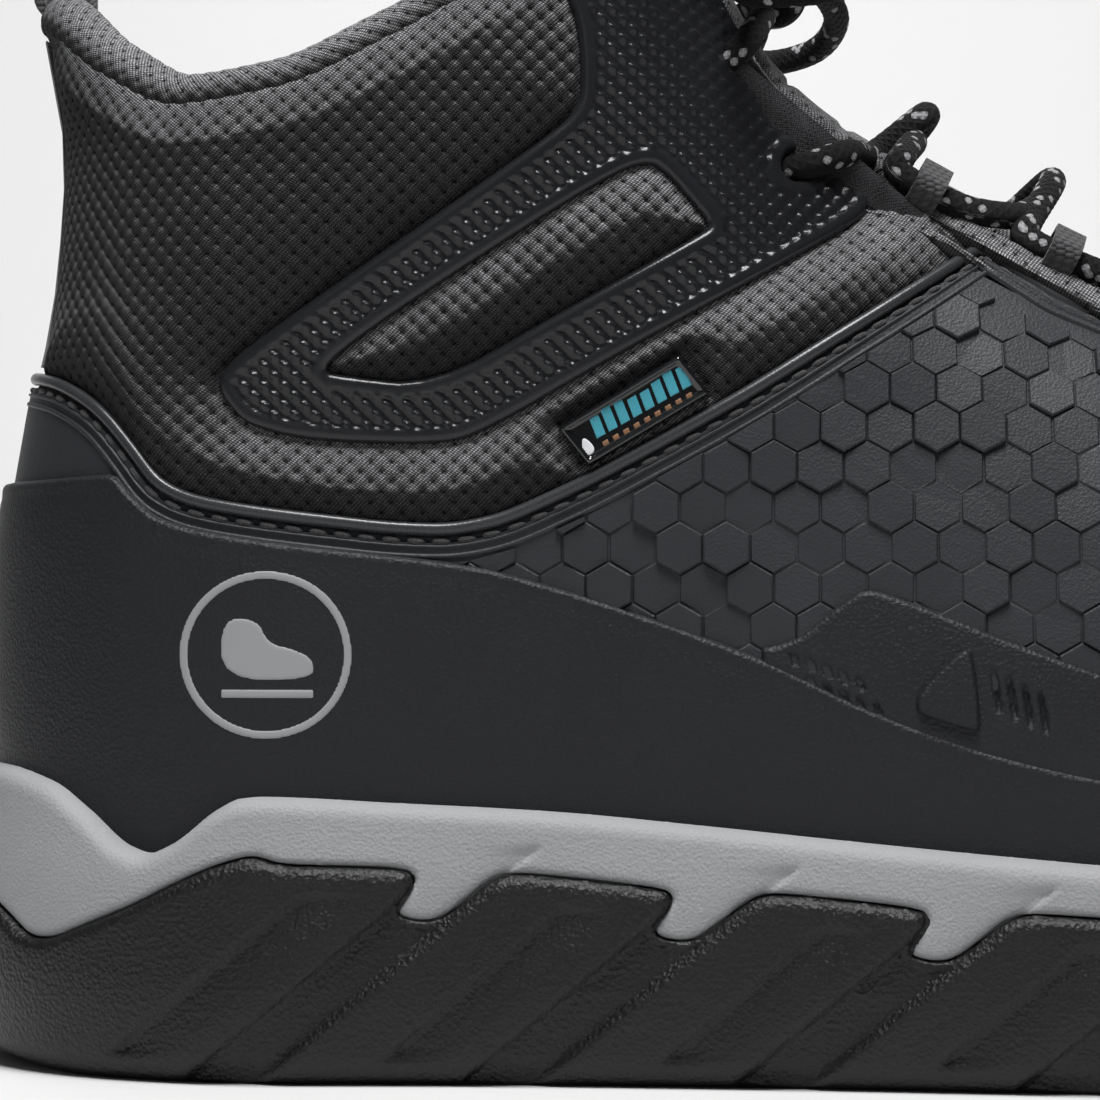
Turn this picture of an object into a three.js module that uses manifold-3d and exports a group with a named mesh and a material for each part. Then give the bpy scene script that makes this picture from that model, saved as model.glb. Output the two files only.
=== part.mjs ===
// Right-foot athletic safety work boot, ankle height, with a protective toe cap.
// Millimetres. +X runs to the toe, +Y to the inner (medial) side, +Z up.
// The boot is built in layers over one smooth upper surface: each layer is the space between two
// offsets of that surface, cut by outlines drawn in side view or in plan.
import * as THREE from "three";
import { mergeVertices } from "three/addons/utils/BufferGeometryUtils.js";
import Module from "manifold-3d";

const wasm = await Module();
wasm.setup();

// ---- sizes that can be set by themselves ----
const soleLength = 315; // heel to toe of the pattern that the outlines are graded from
const ballWidth = 98; // upper, across the ball of the foot
const collarHeight = 172; // floor to the front of the collar
const gap = 0.35; // between parts that touch
const meshThickness = 1.6;
const paddingThickness = 3.1; // collar foam, tongue and toe cap share this space
const liningThickness = 1.2;
const shellThickness = 1.45;
const randThickness = 1.0;
const bandThickness = 0.8;
const badgeThickness = 0.9;
const overlayThickness = 0.95;
const beadRadius = 1.05;
const threadRadius = 0.4;
const threadSetback = 2.75; // bead centre to the row of stitches
const boardThickness = 1.6;
const footbedThickness = 5;
const footbedClearance = 0.9;
const wallStep = 1.4; // outsole lugs stand this proud of the midsole wall
const wallDepth = 1.8; // and reach this far behind it
const treadPlate = 8.5; // outsole thickness under the foot, lugs included
const grooveDepth = 4.5;
const grooveWidth = 4;
const shankSize = [96, 18, 1.6];
const laceRadius = 1.9;
const loopWidth = 4.6; // webbing of the lace loops
const loopThickness = 0.9;
const pullWidth = 14; // webbing of the two pull loops
const pullThickness = 1.5;
const pullHeight = 19;
const aglet = { length: 18, radius: 2.2 };
const tagSize = [21.5, 7.2, 1.1];
const throatHalf = 12; // half the gap between the two quarters over the tongue
const shellThroatHalf = 20.8; // bead centre to the middle of the instep
const tongueHalf = 24;
const throatX = 205; // front end of the lacing gap
const seamHalf = 0.4; // half the gap at a butt seam
const heelStripHalf = 9;

// ---- pattern grading: outlines are drawn for the sizes above and scaled with them ----
const gradeX = soleLength / 315;
const gradeY = ballWidth / 98;
const gradeZ = collarHeight / 172;
const side = (points) => points.map(([x, z]) => [x * gradeX, z * gradeZ]);
const plan = (points) => points.map(([x, y]) => [x * gradeX, y * gradeY]);

// A smooth function through points, without overshoot.
function curve(points) {
  const slopes = points.slice(1).map(([x, y], i) => (y - points[i][1]) / (x - points[i][0]));
  const tangents = points.map((_, i) => {
    const before = slopes[Math.max(i - 1, 0)];
    const after = slopes[Math.min(i, slopes.length - 1)];
    return before * after <= 0 ? 0 : (2 * before * after) / (before + after);
  });
  return (x) => {
    const last = points.length - 1;
    if (x <= points[0][0]) return points[0][1];
    if (x >= points[last][0]) return points[last][1];
    const i = points.findIndex((p) => p[0] > x) - 1;
    const width = points[i + 1][0] - points[i][0];
    const u = (x - points[i][0]) / width;
    return (
      points[i][1] * (1 + 2 * u) * (1 - u) ** 2 +
      tangents[i] * width * u * (1 - u) ** 2 +
      points[i + 1][1] * u * u * (3 - 2 * u) +
      tangents[i + 1] * width * u * u * (u - 1)
    );
  };
}

// ---- the upper surface ----
const ridge = curve(side([
  [30, 700], [60, 400], [80, 285], [95, 214], [104, 181], [108, 170], [112.5, 160], [118.5, 150],
  [126.5, 142], [137, 135], [151, 127.5], [168, 118.5], [190, 106.5], [212, 96], [235, 88.5],
  [255, 84], [270, 80.2], [283, 75], [294, 68], [301.5, 60], [305.5, 52], [307, 45],
]));
const heelBack = curve(side([
  [20, 8], [35, 6], [55, 5], [75, 5.6], [95, 8.5], [115, 12.5], [135, 14], [150, 12], [165, 8.5], [200, 4],
].map(([z, x]) => [x, z])).map(([x, z]) => [z, x]));
const girth = curve(plan([
  [0, 35.5], [60, 35.5], [90, 35.2], [120, 37], [150, 40.5], [185, 45.5], [215, 48.6], [230, 49], [320, 49],
]));
const ankleBulge = curve([[20, 0.93], [45, 1], [90, 1], [110, 1.05], [130, 1.1], [150, 1.13], [190, 1.13]]
  .map(([z, k]) => [z * gradeZ, k]));
const bulgeFade = curve([[110, 1], [160, 0]].map(([x, k]) => [x * gradeX, k]));
const roofPower = curve([[0, 2.4], [110, 2.3], [150, 2], [200, 2.1], [240, 2.5], [310, 2.6]]
  .map(([x, n]) => [x * gradeX, n]));
const midline = curve(plan([[0, 0], [60, 0], [110, -2.5], [150, -3], [190, -0.5], [230, 3], [270, 6.5],
  [307, 9]]));
const featherLine = curve(side([[4, 29.5], [60, 30], [130, 26], [180, 21.5], [215, 20], [255, 21],
  [285, 24], [305, 27]]));
const wallHeight = 45 * gradeZ; // below this the walls are upright, above it they close over
const heelRound = 48 * gradeX;
const tongueBack = 93 * gradeX;
const throatMid = midline(164 * gradeX);
const toeStart = 225 * gradeX;
const toePower = 2.35;

function toeTip(z) {
  const below = Math.max(0, (wallHeight - z) / (21 * gradeZ));
  return 307 * gradeX - 4 * gradeX * below * below;
}

// Half the width of the upper at a place in side view.
function halfWidth(x, z) {
  const fromHeel = x - heelBack(z);
  if (fromHeel <= 0) return 0;
  const heel = fromHeel < heelRound ? Math.sqrt(1 - (1 - fromHeel / heelRound) ** 2) : 1;
  const toward = Math.max(0, (x - toeStart) / (toeTip(z) - toeStart));
  if (toward >= 1) return 0;
  const toe = (1 - toward ** toePower) ** (1 / toePower);
  const rise = (z - wallHeight) / (ridge(x) - wallHeight);
  if (rise >= 1) return 0;
  const n = roofPower(x);
  const roof = rise <= 0 ? 1 : (1 - rise ** n) ** (1 / n);
  const bulge = 1 + (ankleBulge(z) - 1) * bulgeFade(x);
  return girth(x) * bulge * heel * toe * roof;
}

// Rings round the boot, from the feather edge (0) to above the collar (18).
const backHeight = curve([
  [0, 29.5], [2, 45], [4, 62], [6, 76], [8, 91], [10, 107], [12, 123], [14, 140], [16, 160], [18, 184],
].map(([q, z]) => [q, z * gradeZ]));
const frontReach = curve([
  [2, 307], [3, 303.8], [4, 296], [5, 283], [6, 265], [7, 240], [8, 215], [9, 192], [10, 170], [11, 150],
  [12, 134], [13, 122], [14, 114.5], [15, 109.5], [16, 106], [17, 102.5], [18, 99],
].map(([q, x]) => [q, x * gradeX]));
const toeHeight = curve([[0, 27], [1, 35], [2, 45]].map(([q, z]) => [q, z * gradeZ]));
const ringCount = 18;
const ringSteps = 28;
const gridRings = [0, 2, 3, 4, 5, 6, 7.5, 9, 10, 11, 12, 13, 14, 15.5, 18];

// A point on ring q at angle t: 0 is the middle of the heel, pi the middle of the front, and the
// outer (lateral) side comes first.
function upperPoint(q, t) {
  const zBack = backHeight(q);
  const xBack = heelBack(zBack);
  const zFront = q < 2 ? toeHeight(q) : ridge(frontReach(q));
  const xFront = q < 2 ? toeTip(zFront) : frontReach(q);
  const u = (1 - Math.cos(t)) / 2;
  const x = xBack + (xFront - xBack) * u;
  const sag = featherLine(x) - THREE.MathUtils.lerp(featherLine(0), featherLine(400 * gradeX), u);
  const z = zBack + (zFront - zBack) * u + sag * Math.max(0, 1 - q / 4);
  return new THREE.Vector3(x, midline(x) - Math.sign(Math.sin(t)) * halfWidth(x, z), z);
}

function offsetPoint(q, t, distance) {
  const step = 0.04;
  const along = upperPoint(q, t + step).sub(upperPoint(q, t - step));
  const high = Math.min(q + step * 4, ringCount);
  const low = Math.max(q - step * 4, 0);
  const up = upperPoint(high, t).sub(upperPoint(low, t));
  const normal = along.cross(up).normalize();
  return upperPoint(q, t).addScaledVector(normal, distance);
}

// ---- solids ----
const toSolid = (geometry) => {
  const bare = geometry.clone();
  for (const name of Object.keys(bare.attributes)) {
    if (name !== "position") bare.deleteAttribute(name);
  }
  const merged = mergeVertices(bare, 1e-4);
  return new wasm.Manifold(new wasm.Mesh({
    numProp: 3,
    vertProperties: merged.attributes.position.array,
    triVerts: new Uint32Array(merged.index.array),
  }));
};

function toGeometry(solid) {
  const mesh = solid.getMesh();
  const positions = new Float32Array(mesh.numVert * 3);
  for (let i = 0; i < mesh.numVert; i++) {
    positions.set(mesh.vertProperties.subarray(i * mesh.numProp, i * mesh.numProp + 3), i * 3);
  }
  return new THREE.BufferGeometry()
    .setAttribute("position", new THREE.BufferAttribute(positions, 3))
    .setIndex(new THREE.BufferAttribute(mesh.triVerts, 1));
}

// A closed body from rings of points, each ring closed on itself, with a ladder across each end.
function ladderSolid(rings) {
  const count = rings[0].length;
  const positions = rings.flat().flatMap((p) => [p.x, p.y, p.z]);
  const triangles = [];
  const quad = (a, b, c, d) => triangles.push(a, b, c, a, c, d);
  for (let r = 0; r + 1 < rings.length; r++) {
    for (let i = 0; i < count; i++) {
      const j = (i + 1) % count;
      quad(r * count + i, r * count + j, (r + 1) * count + j, (r + 1) * count + i);
    }
  }
  for (const [base, flip] of [[0, true], [(rings.length - 1) * count, false]]) {
    for (let i = 0; i < count / 2; i++) {
      const [a, b] = [base + i, base + i + 1];
      const [c, d] = [base + count - i - 1, base + ((count - i) % count)];
      const faces = i === 0 ? [[a, b, c]] : b === c ? [[a, b, d]] : [[a, b, c], [a, c, d]];
      for (const [p, q, s] of faces) triangles.push(p, flip ? s : q, flip ? q : s);
    }
  }
  const geometry = new THREE.BufferGeometry()
    .setAttribute("position", new THREE.BufferAttribute(new Float32Array(positions), 3));
  geometry.setIndex(triangles);
  return toSolid(geometry);
}

const angles = Array.from({ length: ringSteps }, (_, i) => (2 * Math.PI * i) / ringSteps);
const skins = new Map();

// Everything inside the upper surface offset by a distance.
function skin(distance) {
  if (!skins.has(distance)) {
    const rings = gridRings.map((q) => angles.map((t) => offsetPoint(q, t, distance)));
    skins.set(distance, ladderSolid(rings));
  }
  return skins.get(distance);
}
const layer = (inner, outer) => skin(outer).subtract(skin(inner));

// ---- the sole's wall ----
const groundLine = curve(side([[-6, 3.2], [22, 0], [222, 0], [262, 2.6], [295, 8], [320, 13]]));
const wallTop = 46 * gradeZ;
const wallFlare = curve([[0, 3.0], [0.1, 5.0], [0.35, 6.4], [0.6, 6.1], [0.8, 5.3], [1, 4.7]]);

function soleWall(distance) {
  const levels = [0, 0.1, 0.3, 0.6, 1];
  const rings = levels.map((level) => angles.map((t) => {
    const at = upperPoint(1, t);
    const along = upperPoint(1, t + 0.04).sub(upperPoint(1, t - 0.04));
    const out = new THREE.Vector3(along.y, -along.x, 0).normalize();
    at.addScaledVector(out, wallFlare(level) + distance);
    const low = groundLine(at.x);
    return at.setZ(low + level * (wallTop - low));
  }));
  return ladderSolid(rings);
}

// ---- cutting bodies ----
const reach = 300; // longer than the boot in any direction from a cut
const shapeOf = (points) => new THREE.Shape(points.map(([a, b]) => new THREE.Vector2(a, b)));

// An outline in side view, carried across the boot from y0 to y1.
function sideCut(points, y0 = -reach, y1 = reach) {
  const geometry = new THREE.ExtrudeGeometry(shapeOf(points), { depth: y1 - y0, bevelEnabled: false });
  return toSolid(geometry.rotateX(Math.PI / 2).translate(0, y1, 0));
}

// An outline in plan, carried from z0 to z1.
function planCut(points, z0 = -reach, z1 = reach) {
  const geometry = new THREE.ExtrudeGeometry(shapeOf(points), { depth: z1 - z0, bevelEnabled: false });
  return toSolid(geometry.translate(0, 0, z0));
}

const boxCut = (x0, x1, y0, y1, z0, z1) => planCut([[x0, y0], [x1, y0], [x1, y1], [x0, y1]], z0, z1);
const sampled = (line, x0, x1, steps, lift = 0) => Array.from({ length: steps + 1 }, (_, i) => {
  const x = x0 + ((x1 - x0) * i) / steps;
  return [x, line(x) + lift];
});
const [xMin, xMax] = [-20 * gradeX, 335 * gradeX];

// Below or above a line z(x) in side view.
function under(line, lift = 0, steps = 15) {
  return sideCut([[xMin, -reach], [xMax, -reach], ...sampled(line, xMin, xMax, steps, lift).reverse()]);
}
function over(line, lift = 0, steps = 15) {
  return sideCut([...sampled(line, xMin, xMax, steps, lift), [xMax, reach], [xMin, reach]]);
}

// The lacing gap and what follows it: straight sides at a half width, round at the toe end.
function throatCut(half, front, back = tongueBack) {
  const points = [[back, -half]];
  for (let i = 0; i <= 12; i++) {
    const a = (-90 + 15 * i) * THREE.MathUtils.DEG2RAD;
    points.push([front + half * Math.cos(a), half * Math.sin(a)]);
  }
  points.push([back, half]);
  return planCut(points.map(([x, y]) => [x, y + throatMid]), 60 * gradeZ);
}

// ---- outlines in side view ----
const beadLine = curve(side([
  [-15, 103], [5, 102.6], [14, 100.9], [19, 98.6], [22.9, 95.6], [27, 90.8], [31.2, 85.6], [36, 83.3],
  [43.8, 81.8], [55.7, 80.3], [65.7, 79.3], [71.5, 79.1], [78, 80], [87.1, 83.5], [111.7, 96.5],
  [128.1, 106.4], [151.4, 120.7], [190, 146], [340, 240],
]));
const randLine = curve(side([
  [-15, 85], [15, 86.4], [24.5, 87], [27.4, 84.2], [31.2, 81], [36, 79.4], [45.9, 77.6], [61, 75.8],
  [76.1, 73.9], [87.1, 71.1], [98.6, 67.5], [117.5, 60.6], [133.2, 53.4], [151.4, 47.2], [172, 43],
  [198, 40.5], [225, 42], [250, 47], [272, 54], [292, 60], [340, 62],
]));
const bandLine = curve(side([
  [117.1, 62], [121.4, 63.2], [128.5, 68.3], [132.3, 70.3], [138, 68.7], [151.4, 63.4], [172, 56],
    [196, 48], [214, 41],
]));
const collarLine = curve(side([
  [-15, 161], [5, 158.5], [12, 155], [22, 146.5], [34, 140.8], [48, 142.5], [65, 150], [80, 158.5],
    [95, 166], [106, 171], [140, 174],
]));
const midsoleLine = curve(side([
  [-10, 44], [5, 43.4], [13, 41.5], [19, 37.6], [25.4, 32.5], [28.6, 31.6], [32.5, 33.1], [39.3, 38.2],
  [42.6, 39.7], [46, 40], [65.7, 39.1], [87.1, 38], [108.6, 36.1], [130, 34], [151.4, 32.1], [180, 30],
  [212, 29], [240, 31], [268, 35], [293, 40], [330, 43.5],
]));
const lugCorners = side([[66.6, 29.9], [103.1, 27.9], [139.2, 25.5], [175.5, 24], [212, 23.2], [248, 24],
  [282, 27.6]]);
const finger = [[0, 0], [1.3, -1.2], [-1.5, -6.2], [0.6, -7], [4.1, -6.8], [9, -3.5], [12.5, -1.2],
  [14.3, -0.6]];
const lugOutline = [
  ...side([[-10, 27], [4, 26.6], [9, 23], [14, 18.8], [22.9, 22.8], [31.1, 26.6], [38.1, 30.7],
    [43.1, 32.1], [46.5, 32.4], [51, 31.2], [57, 30]]),
  ...lugCorners.flatMap(([x, z]) => finger.map(([dx, dz]) => [x + dx * gradeX, z + dz * gradeZ])),
  ...side([[304, 31], [318, 36], [335, 39]]),
];
const belowLugLine = sideCut([[xMin, -reach], [xMin, lugOutline[0][1]], ...lugOutline,
  [xMax, -reach]].reverse());
const lugGap = 1.6 * gap; // moved along a diagonal, so the steep sides are clear too
const aboveLugLine = sideCut([[xMin, reach], [xMin, lugOutline[0][1] + lugGap], ...lugOutline
  .map(([x, z]) => [x + lugGap, z + lugGap]), [xMax, reach]]);

// ---- sole parts ----
const outerWall = soleWall(wallStep);
const backWall = soleWall(-wallDepth);

function treadGrooves() {
  const cuts = [];
  const pitch = 18 * gradeX;
  const turn = 22 * THREE.MathUtils.DEG2RAD;
  for (let x = 30 * gradeX; x < 296 * gradeX; x += pitch) {
    if (x > 92 * gradeX && x < 152 * gradeX) continue;
    const floor = groundLine(x) + grooveDepth;
    for (const sign of [-1, 1]) {
      const box = new THREE.BoxGeometry(grooveWidth, 48 * gradeY, 60)
        .translate(0, sign * 33 * gradeY, floor - 30)
        .rotateZ(sign * turn)
        .translate(x, midline(x), 0);
      cuts.push(toSolid(box));
    }
  }
  const archFloor = 3.6;
  cuts.push(sideCut([[98 * gradeX, -10], [152 * gradeX, -10], [146 * gradeX, archFloor],
    [102 * gradeX, archFloor]]));
  return cuts;
}

function makeOutsole() {
  const inside = backWall.intersect(over(groundLine, treadPlate));
  let body = outerWall.intersect(belowLugLine).subtract(inside);
  for (const cut of treadGrooves()) body = body.subtract(cut);
  return body;
}

const boardBottom = gap;
const boardTop = boardBottom + boardThickness;
const upperFoot = boardTop + gap; // the upper's layers stand on the lasting board
const randOuter = gap + shellThickness + gap + randThickness;

function makeMidsole() {
  const wall = soleWall(0).intersect(aboveLugLine);
  const core = soleWall(-wallDepth - gap).intersect(over(groundLine, treadPlate + gap));
  const shankX = 118 * gradeX;
  const pocket = boxCut(
    shankX - shankSize[0] / 2 - gap, shankX + shankSize[0] / 2 + gap,
    -shankSize[1] / 2 - 3 - gap, shankSize[1] / 2 - 3 + gap, shankFloor() - gap, 60 * gradeZ,
  );
  return wall.add(core).intersect(under(midsoleLine, 0, 50)).subtract(skin(randOuter + gap))
    .subtract(pocket);
}

function shankFloor() {
  const lowest = Math.min(featherLine(70 * gradeX), featherLine(166 * gradeX));
  return lowest - gap - shankSize[2];
}

function makeShank() {
  const [long, wide, thick] = shankSize;
  const geometry = new THREE.BoxGeometry(long, wide, thick);
  return toSolid(geometry.translate(118 * gradeX, -3, shankFloor() + thick / 2));
}

const between = (low, lowLift, high, highLift) => over(low, lowLift).intersect(under(high, highLift));
const makeBoard = () => skin(-0.5).intersect(between(featherLine, boardBottom, featherLine, boardTop));

const liningOuter = -meshThickness - gap - paddingThickness - gap;
const liningInner = liningOuter - liningThickness;
const padOuter = -meshThickness - gap;
const padInner = padOuter - paddingThickness;

function makeFootbed() {
  const body = skin(liningInner - footbedClearance);
  return body.intersect(between(featherLine, upperFoot, featherLine, upperFoot + footbedThickness));
}

// ---- upper parts ----
const upperOnly = over(featherLine, upperFoot).intersect(under(collarLine, 0, 34));
const throat = throatCut(throatHalf, throatX * gradeX);
const tongueSpace = throatCut(tongueHalf + gap, (throatX + 8) * gradeX);

function makeMesh() {
  const whole = layer(-meshThickness, 0).intersect(upperOnly).subtract(throat);
  const vampX = 216 * gradeX;
  const vamp = whole.intersect(boxCut(vampX + seamHalf, reach * 2, -reach, reach, -reach, reach));
  const rear = whole.intersect(boxCut(-reach, vampX - seamHalf, -reach, reach, -reach, reach));
  const seam = midline(0);
  return {
    mesh_quarter_lateral: rear.intersect(boxCut(-reach, reach * 2, -reach, seam - seamHalf, -reach, reach)),
    mesh_quarter_medial: rear.intersect(boxCut(-reach, reach * 2, seam + seamHalf, reach, -reach, reach)),
    mesh_vamp: vamp,
  };
}

const capLine = 240 * gradeX;
const toeCapBack = (x) =>
  sideCut([[x, -reach], [reach * 2, -reach], [reach * 2, reach], [x + 14, reach], [x + 4, 60 * gradeZ],
    [x, 40 * gradeZ]]);

function makeToeParts() {
  const space = over(featherLine, upperFoot);
  const cap = layer(padInner, padOuter).intersect(space).intersect(toeCapBack(capLine));
  const strip = layer(padOuter - paddingThickness * 0.7, padOuter).intersect(space)
    .intersect(toeCapBack(capLine - 5)).subtract(toeCapBack(capLine - gap));
  return { toe_cap: cap, toe_cap_edge_strip: strip };
}

const stiffenerTop = curve(side([[-15, 92], [15, 90], [40, 76], [75, 52], [84, 34], [90, 10]]));
const makeStiffener = () => layer(padOuter - 2, padOuter)
  .intersect(between(featherLine, upperFoot, stiffenerTop, 0));

const liningDepth = 34 * gradeZ;
function makeInside() {
  const lining = layer(liningInner, liningOuter);
  const foam = layer(padInner, padOuter).intersect(upperOnly);
  return {
    waterproof_bootie: lining.intersect(over(featherLine, upperFoot))
      .intersect(under(collarLine, -liningDepth - gap, 34)).subtract(tongueSpace),
    collar_lining: lining.intersect(upperOnly).intersect(over(collarLine, -liningDepth, 34))
      .subtract(tongueSpace),
    collar_foam: foam.intersect(over(collarLine, -44 * gradeZ)).subtract(tongueSpace),
  };
}

const tongueTop = curve(side([[60, 181], [100, 184], [140, 186]]));
// keeps the wings off the ankle's sides
const tongueFoot = curve(side([[85, 128], [110, 114], [150, 90], [240, 50]]));
// the tongue's wings lie under the lace inside the quarters
const wingOuter = padOuter - 2 * laceRadius - 1.05;
const wingInner = wingOuter - 2.6;
// half the padded part between the quarters
const tongueMiddle = throatHalf + 4.3 - meshThickness - 2 * laceRadius;
function makeTongue() {
  const inFront = boxCut(tongueBack + gap, reach * 2, -reach, reach, -reach, reach);
  const wings = layer(wingInner, wingOuter).intersect(throatCut(tongueHalf, (throatX + 8) * gradeX));
  const middle = layer(wingInner, 2).intersect(throatCut(tongueMiddle, (throatX - 0.7) * gradeX));
  return wings.add(middle).intersect(inFront).intersect(under(tongueTop)).intersect(over(tongueFoot));
}

const shellOuter = gap + shellThickness;
const trimBelowBead = beadRadius + gap + 0.21 * shellThickness; // the shell's edge leans towards the bead
const belowBead = (() => {
  const edge = sampled(beadLine, xMin, 160 * gradeX, 56).map(([x, z]) => {
    const slope = (beadLine(x + 0.5) - beadLine(x - 0.5)) / 1;
    const scale = trimBelowBead / Math.hypot(1, slope);
    return [x + slope * scale, z - scale];
  });
  return sideCut([[xMin, -reach], [xMax, -reach], [xMax, reach], ...edge.reverse()]);
})();

function makeShell() {
  const edge = throatCut(shellThroatHalf + trimBelowBead + 0.5, throatX * gradeX);
  return layer(gap, shellOuter).intersect(over(featherLine, upperFoot)).intersect(belowBead).subtract(edge);
}

function makeRand() {
  return layer(shellOuter + gap, randOuter).intersect(over(featherLine, upperFoot))
    .intersect(under(randLine, -0.5, 40));
}

// The band's outline: from where it leaves the rand, up over its shoulder and down to the rand again.
function makeBand(y0, y1) {
  const [start, end] = [117.5 * gradeX, 205 * gradeX];
  const outline = [...sampled(randLine, start, end, 24, gap),
    ...sampled(bandLine, start, end, 30).reverse()];
  return layer(shellOuter + gap, shellOuter + gap + bandThickness).intersect(sideCut(outline, y0, y1));
}
const badgeOutline = side([[139.4, 52.9], [147.6, 50.6], [146.7, 61.2], [145.4, 61.8], [139.2, 55.8]]);
const bandOuter = shellOuter + gap + bandThickness;
const makeBadge = (y0, y1) => layer(bandOuter + gap, bandOuter + gap + badgeThickness)
  .intersect(sideCut(badgeOutline, y0, y1));

const overlayOutline = side([
  [39.2, 99.8], [40.6, 102.7], [44.2, 105.7], [59.8, 116.6], [76.1, 127.8], [87.1, 135.6], [90.5, 138.6],
  [91.6, 142], [91, 152], [88, 161.2], [98, 166.2], [124, 172], [124, 150], [128, 140.4], [130.3, 136.1],
    [134.3, 131.1],
  [134.4, 127.4], [132.4, 123.9], [119.9, 116.7], [95.3, 103.1], [75.4, 92.1], [72, 91.2], [59.7, 91.4],
  [51.6, 92], [45.8, 93.4], [42.4, 95],
]);
const overlayWindow = side([
  [54.4, 101.9], [70.3, 99.9], [87.1, 109.4], [109, 121.6], [110, 122.8], [107.6, 125.6], [103.5, 130.2],
    [101, 131.7], [95.3, 129.4], [72, 114.6], [59.7, 106.4],
]);
function makeOverlay(y0, y1) {
  const ring = layer(gap, gap + overlayThickness)
    .intersect(sideCut(overlayOutline.slice().reverse(), y0, y1));
  return ring.subtract(sideCut(overlayWindow.slice(), y0, y1)).intersect(under(collarLine, -3))
    .subtract(throatCut(throatHalf + 1.5, throatX * gradeX));
}

// ---- places on the surface ----
// A point at (x, z) in side view, lifted off the surface. which is -1 for the lateral side.
function sidePoint(x, z, which, lift) {
  const e = 0.4;
  const grad = (a, b) => halfWidth(a, b);
  const wx = (grad(x + e, z) - grad(x - e, z)) / (2 * e);
  const wz = (grad(x, z + e) - grad(x, z - e)) / (2 * e);
  const mx = (midline(x + e) - midline(x - e)) / (2 * e);
  const normal = new THREE.Vector3(-wx - which * mx, which, -wz).normalize();
  const at = new THREE.Vector3(x, midline(x) + which * halfWidth(x, z), z);
  return { at: at.addScaledVector(normal, lift), normal };
}

// A point on ring q over the instep, at a distance y from the middle of the lacing, lifted off.
function frontPoint(q, y, lift) {
  let [near, far] = [Math.PI * 0.5, Math.PI * 1.5];
  for (let i = 0; i < 40; i++) {
    const t = (near + far) / 2;
    if (upperPoint(q, t).y < throatMid + y) near = t;
    else far = t;
  }
  const at = offsetPoint(q, near, lift);
  return { at, normal: offsetPoint(q, near, 1).sub(offsetPoint(q, near, 0)).normalize() };
}

const circle = (radius, sides) => shapeOf(Array.from({ length: sides }, (_, i) => {
  const a = (2 * Math.PI * i) / sides;
  return [radius * Math.cos(a), radius * Math.sin(a)];
}));
const path = (points, tension = 0.5) => new THREE.CatmullRomCurve3(points, false, "centripetal", tension);
const tube = (line, radius, steps, sides = 8) => toSolid(new THREE.ExtrudeGeometry(circle(radius, sides), {
  steps, extrudePath: line, bevelEnabled: false,
}));

// The line of the bead, from the back seam along one side to the middle of the throat.
function beadHalf(which, lift) {
  const points = [];
  const endX = 150 * gradeX;
  const startX = heelBack(beadLine(heelBack(103 * gradeZ))) + 0.15;
  for (let i = 0; i <= 30; i++) {
    const x = startX + (endX - startX) * (i / 30) ** 1.6;
    points.push(sidePoint(x, beadLine(x), which, lift));
  }
  const onTop = (x, y) => {
    let [low, high] = [wallHeight, ridge(x)];
    for (let i = 0; i < 40; i++) {
      const z = (low + high) / 2;
      if (halfWidth(x, z) > Math.abs(y + throatMid - midline(x))) low = z;
      else high = z;
    }
    return sidePoint(x, low, Math.sign(y + throatMid - midline(x)) || which, lift);
  };
  for (let x = 162; x <= throatX; x += 8.6) points.push(onTop(x * gradeX, which * shellThroatHalf));
  for (let a = 15; a < 90; a += 15) {
    const turn = a * THREE.MathUtils.DEG2RAD;
    const x = throatX * gradeX + shellThroatHalf * Math.sin(turn);
    points.push(onTop(x, which * shellThroatHalf * Math.cos(turn)));
  }
  return points;
}

function beadPath(lift, setback) {
  const outer = beadHalf(-1, lift);
  const inner = beadHalf(1, lift).reverse();
  const points = [...outer, ...inner];
  return points.map(({ at, normal }, i) => {
    const before = points[Math.max(i - 1, 0)].at;
    const after = points[Math.min(i + 1, points.length - 1)].at;
    const across = after.clone().sub(before).cross(normal).normalize();
    return at.clone().addScaledVector(across, setback);
  });
}

const beadLift = gap + 0.7 + beadRadius; // clear of the flats of the layer below
const beadRun = path(beadPath(beadLift, 0));
const makeBead = () => tube(beadRun, beadRadius, 58, 6);
const makeThread = () =>
  tube(path(beadPath(shellOuter + gap + 0.9 + threadRadius, threadSetback)), threadRadius, 58, 4);

// ---- the lace ----
const loopRows = [9.2, 10, 10.95]; // rings that carry the lace loops
const loopY = 15.5;
const loopHeight = 2 * (laceRadius + loopThickness) + 1;
const loopLift = gap + 0.3;
const holes = side([[122.9, 131.9], [113.2, 147]]); // punched holes in the overlay
const strandLift = gap + overlayThickness + gap + laceRadius;
const knotRing = 14.1;
const knotLift = 8;

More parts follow.
